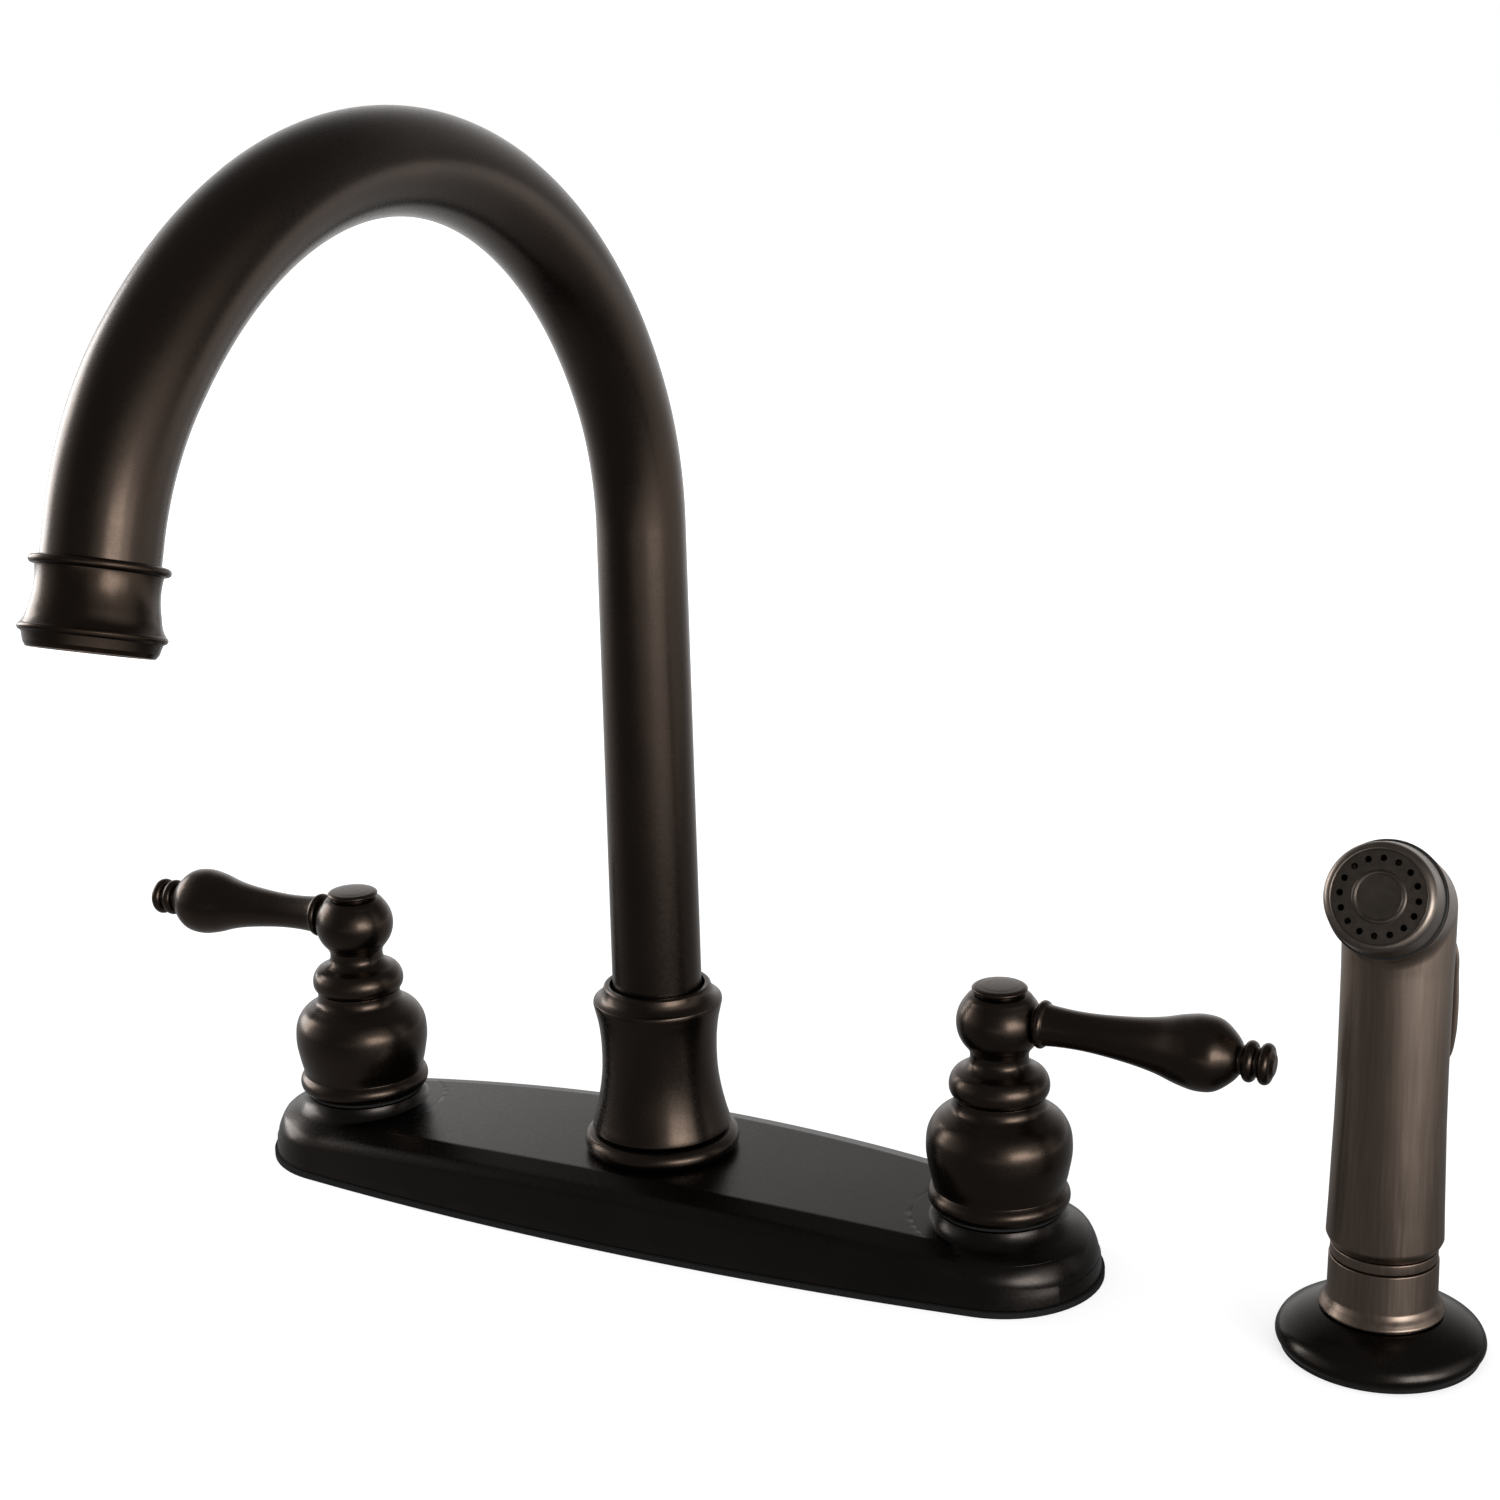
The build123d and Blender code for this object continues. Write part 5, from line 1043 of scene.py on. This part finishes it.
def thumb_paddle():
    """Curved paddle behind the grip, wide in the middle, with a round tip and a barrel on its pin."""
    around, thick = 40, 1.1
    spine = flowing([(PIN_Y, PIN_Z), (17.2, PIN_Z - 5.5), (18.7, PIN_Z - 12.0), (20.0, PIN_Z - 22.0),
                     (20.75, PIN_Z - 36.0), (21.0, PIN_Z - 49.8)], steps=14)
    widths = flowing([(0.0, 4.4), (5.2, 4.5), (7.6, 6.4), (10.8, 9.3), (14.6, 10.7), (22.0, 11.1),
                      (31.8, 11.3), (38.0, 11.0), (43.3, 10.0), (46.6, 8.2), (48.6, 5.8), (49.5, 3.4),
                      (49.8, 1.2)], steps=12)
    bm = new_shape()
    rings = []
    spine[-1:-1] = [(spine[-1][0] * (1 - t) + spine[-2][0] * t, spine[-1][1] * (1 - t) + spine[-2][1] * t)
                    for t in (0.75, 0.5, 0.25)]
    for i, (y, z) in enumerate(spine):
        before = Vector(spine[max(0, i - 1)])
        after = Vector(spine[min(len(spine) - 1, i + 1)])
        run = (after - before).normalized()
        normal = Vector((-run.y, run.x)) if run.y < 0 else Vector((run.y, -run.x))
        if normal.x < 0:
            normal = -normal
        wide = read_off(widths, PIN_Z - z)
        spots = []
        for c, s in full_turn(around):
            across = wide * math.copysign(abs(c)**0.35, c)
            out = thick * math.copysign(abs(s)**0.55, s) - 0.055 * wide * (across / max(wide, 0.1))**2
            spots.append((SPRAY + across, y + normal.x * out, z + normal.y * out))
        rings.append(add_verts(bm, spots, [0.5 if abs(c) > 0.9 else 0.0 for c, s in full_turn(around)]))
    for low, high in zip(rings, rings[1:]):
        band(bm, low, high)
    bm.faces.new(rings[0])
    bm.faces.new(list(reversed(rings[-1])))
    pin_place = Matrix.Translation((SPRAY, PIN_Y, PIN_Z)) @ Matrix.Rotation(math.pi / 2, 4, "Y")
    barrel = [(1.3, -4.4), (2.6, -4.4), (2.6, 4.4), (1.3, 4.4)]
    turn_on(bm, eased(barrel, 0.3), pin_place, 48)
    return finish_mesh("thumb_paddle", bm, sharp=40.0)


place_piece(thumb_paddle(), SPRAY_BRONZE, "thumb_lever", "bronze_plastic", "thumb_lever")


# ---- Finishes of the solids that keep their own mesh ----

KEPT = (
    (BLACK_RUBBER, "bell_seals deck_gasket holder_gasket seat_seals spout_o_rings coupling_o_ring "
     "aerator_washer"),
    (BLACK_PLASTIC, "spout_retainer plunger_gland"),
    (MACHINED_BRASS, "centre_body hot_valve_body cold_valve_body spout_spigot diverter_seat hot_stem "
     "cold_stem spray_plunger"),
    (DRAWN_COPPER, "crossover_tubes"),
    (WHITE_PLASTIC, "hot_cartridge cold_cartridge diverter_poppet shank_nuts holder_nut holder_washer"),
    (LAPPED_CERAMIC, "fixed_discs hot_moving_disc cold_moving_disc"),
    (BRIGHT_STEEL, "hot_handle_screw cold_handle_screw thumb_pin diverter_spring plunger_spring "
     "shank_washers"),
)
for finish, nodes in KEPT:
    for node in nodes.split():
        dress(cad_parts[node], finish)


# ---- Studio: floor, surroundings, lamps and camera ----

FLOOR_AZIMUTH = 118.0
SWEEP_AZIMUTH = 142.0
SIDE_AZIMUTH = -18.0
DIM_ROOM = 0.13
SIDE_LIGHT = 0.95
ROOM_LIGHT = 0.60
FLOOR_R = 9.0
FLOOR_DROP = 0.0001  # keeps the floor just below the gaskets


def studio_floor():
    """Wide pale floor at deck height that keeps the soft shadow of the faucet. To reflections it shows a
    painted glow of the room instead of itself.
    """
    bm = bmesh.new()
    bm.faces.new([bm.verts.new((FLOOR_R * c, FLOOR_R * s, -FLOOR_DROP)) for c, s in full_turn(64)])
    mesh = bpy.data.meshes.new("studio_floor")
    bm.to_mesh(mesh)
    bm.free()
    floor = in_scene("studio_floor", mesh)
    paint, tree, shader = new_paint("Floor white")
    rays = tree.nodes.new("ShaderNodeLightPath").outputs
    place = tree.nodes.new("ShaderNodeTexCoord").outputs["Object"]
    reach = add_node(tree, "ShaderNodeVectorMath", {0: place}, operation="LENGTH").outputs["Value"]
    seen = sum_of(tree, "MAXIMUM", rays["Is Camera Ray"], rays["Is Transmission Ray"])
    glow = sum_of(tree, "MULTIPLY", seen, spread(tree, reach, 0.25, 1.0, 0.68, 1.0))
    for label, source in (("Base Color", (0.60, 0.60, 0.60, 1)), ("Roughness", 0.9),
                          ("Specular IOR Level", 0.0), ("Emission Color", (1, 1, 1, 1)),
                          ("Emission Strength", glow)):
        feed(tree, shader.inputs[label], source)
    # Painted reflection: to glossy rays the floor is a glow, white behind the faucet, lit to its right and dim
    # on the photographer's side.
    painted_room_reflection = add_node(tree, "ShaderNodeEmission", {
        "Strength": lit_sweep(tree, place, FLOOR_AZIMUTH, 0.10, 0.80, 0.28, 0.62)})
    either = add_node(tree, "ShaderNodeMixShader", {
        0: rays["Is Glossy Ray"], 1: shader.outputs["BSDF"], 2: painted_room_reflection.outputs["Emission"]})
    feed(tree, tree.nodes["Material Output"].inputs["Surface"], either.outputs["Shader"])
    mesh.materials.append(paint)


def facing(tree, place, azimuth):
    """How far a place or direction lies towards an azimuth."""
    turn = math.radians(azimuth)
    return add_node(tree, "ShaderNodeVectorMath", {0: place, 1: (math.cos(turn), math.sin(turn), 0.0)},
                    operation="DOT_PRODUCT").outputs["Value"]


def lit_sweep(tree, place, azimuth, near, far, side_from, side_to):
    """White behind the faucet and grey beside it, with a dim room on the photographer's side."""
    behind = spread(tree, facing(tree, place, azimuth), -near, far, DIM_ROOM, 1.0)
    beside = spread(tree, facing(tree, place, SIDE_AZIMUTH), side_from, side_to, 0.0, SIDE_LIGHT)
    return sum_of(tree, "MINIMUM", sum_of(tree, "ADD", behind, beside), 1.0)


def flat_direction(tree, place):
    """A direction brought down to the horizon."""
    level = add_node(tree, "ShaderNodeVectorMath", {0: place, 1: (1.0, 1.0, 0.0)}, operation="MULTIPLY")
    unit = add_node(tree, "ShaderNodeVectorMath", {0: level.outputs["Vector"]}, operation="NORMALIZE")
    return unit.outputs["Vector"]


def surroundings():
    """White sweep round the back, dim ceiling, and a dim room on the photographer's side."""
    world = bpy.data.worlds.new("Studio")
    bpy.context.scene.world = world
    world.use_nodes = True
    tree = world.node_tree
    sky = tree.nodes["Background"]
    rays = tree.nodes.new("ShaderNodeLightPath").outputs
    place = tree.nodes.new("ShaderNodeTexCoord").outputs["Generated"]
    height = add_node(tree, "ShaderNodeSeparateXYZ", {0: place}).outputs["Z"]
    sweep = lit_sweep(tree, flat_direction(tree, place), SWEEP_AZIMUTH, 0.05, 0.85, 0.55, 1.0)
    glossy = sum_of(tree, "MULTIPLY", sweep, spread(tree, height, 0.30, 0.82, 1.0, 0.0))
    glossy = sum_of(tree, "MAXIMUM", glossy, DIM_ROOM)
    direct = sum_of(tree, "MAXIMUM", rays["Is Camera Ray"], rays["Is Transmission Ray"])
    seen = sum_of(tree, "MAXIMUM", direct, sum_of(tree, "MULTIPLY", rays["Is Glossy Ray"], glossy))
    other = sum_of(tree, "SUBTRACT", 1.0, sum_of(tree, "MAXIMUM", direct, rays["Is Glossy Ray"]))
    other = sum_of(tree, "MULTIPLY", other, ROOM_LIGHT)
    feed(tree, sky.inputs["Strength"], sum_of(tree, "ADD", seen, other))
    sky.inputs["Color"].default_value = (1, 1, 1, 1)


def softbox(name, azimuth, height, distance, wide, tall, power):
    """Soft rectangular lamp on a stand, turned to the faucet."""
    lamp = bpy.data.lights.new(name, "AREA")
    lamp.shape = "RECTANGLE"
    lamp.size = wide
    lamp.size_y = tall
    lamp.energy = power
    stand = in_scene(name, lamp)
    turn = math.radians(azimuth)
    aim = (0.05, -0.05, 0.10)
    spot = Vector((aim[0] + distance * math.cos(turn), aim[1] + distance * math.sin(turn), height))
    stand.location = spot
    stand.rotation_euler = (Vector(aim) - spot).to_track_quat("-Z", "Y").to_euler()
    stand.visible_camera = False


def photo_camera():
    """Camera at the photograph's viewpoint, solved from the faucet's own measures."""
    spot = Vector((0.31843, -0.57371, 0.31242))
    pitch, yaw, roll = math.radians(15.27), math.radians(26.634), math.radians(-1.389)
    look = Vector((-math.sin(yaw) * math.cos(pitch), math.cos(yaw) * math.cos(pitch), -math.sin(pitch)))
    level = Vector((math.cos(yaw), math.sin(yaw), 0))
    over = level.cross(look)
    right = level * math.cos(roll) + over * math.sin(roll)
    up = over * math.cos(roll) - level * math.sin(roll)
    eye = bpy.data.cameras.new("photo_camera")
    eye.sensor_fit = "HORIZONTAL"
    eye.sensor_width = 36.0
    eye.lens = 60.0
    eye.clip_start = 0.01
    eye.clip_end = 40.0
    camera = in_scene("photo_camera", eye)
    camera.matrix_world = place_of(right, up, -look, spot)
    bpy.context.scene.camera = camera


studio_floor()
photo_camera()
surroundings()
softbox("right_softbox", -34.0, 0.36, 1.6, 0.78, 0.62, 9.6)
softbox("low_side_softbox", -14.0, 0.20, 1.5, 0.50, 0.36, 1.9)
softbox("left_softbox", 175.0, 0.46, 1.5, 0.86, 0.78, 11.0)

bpy.context.scene.view_settings.view_transform = "Standard"
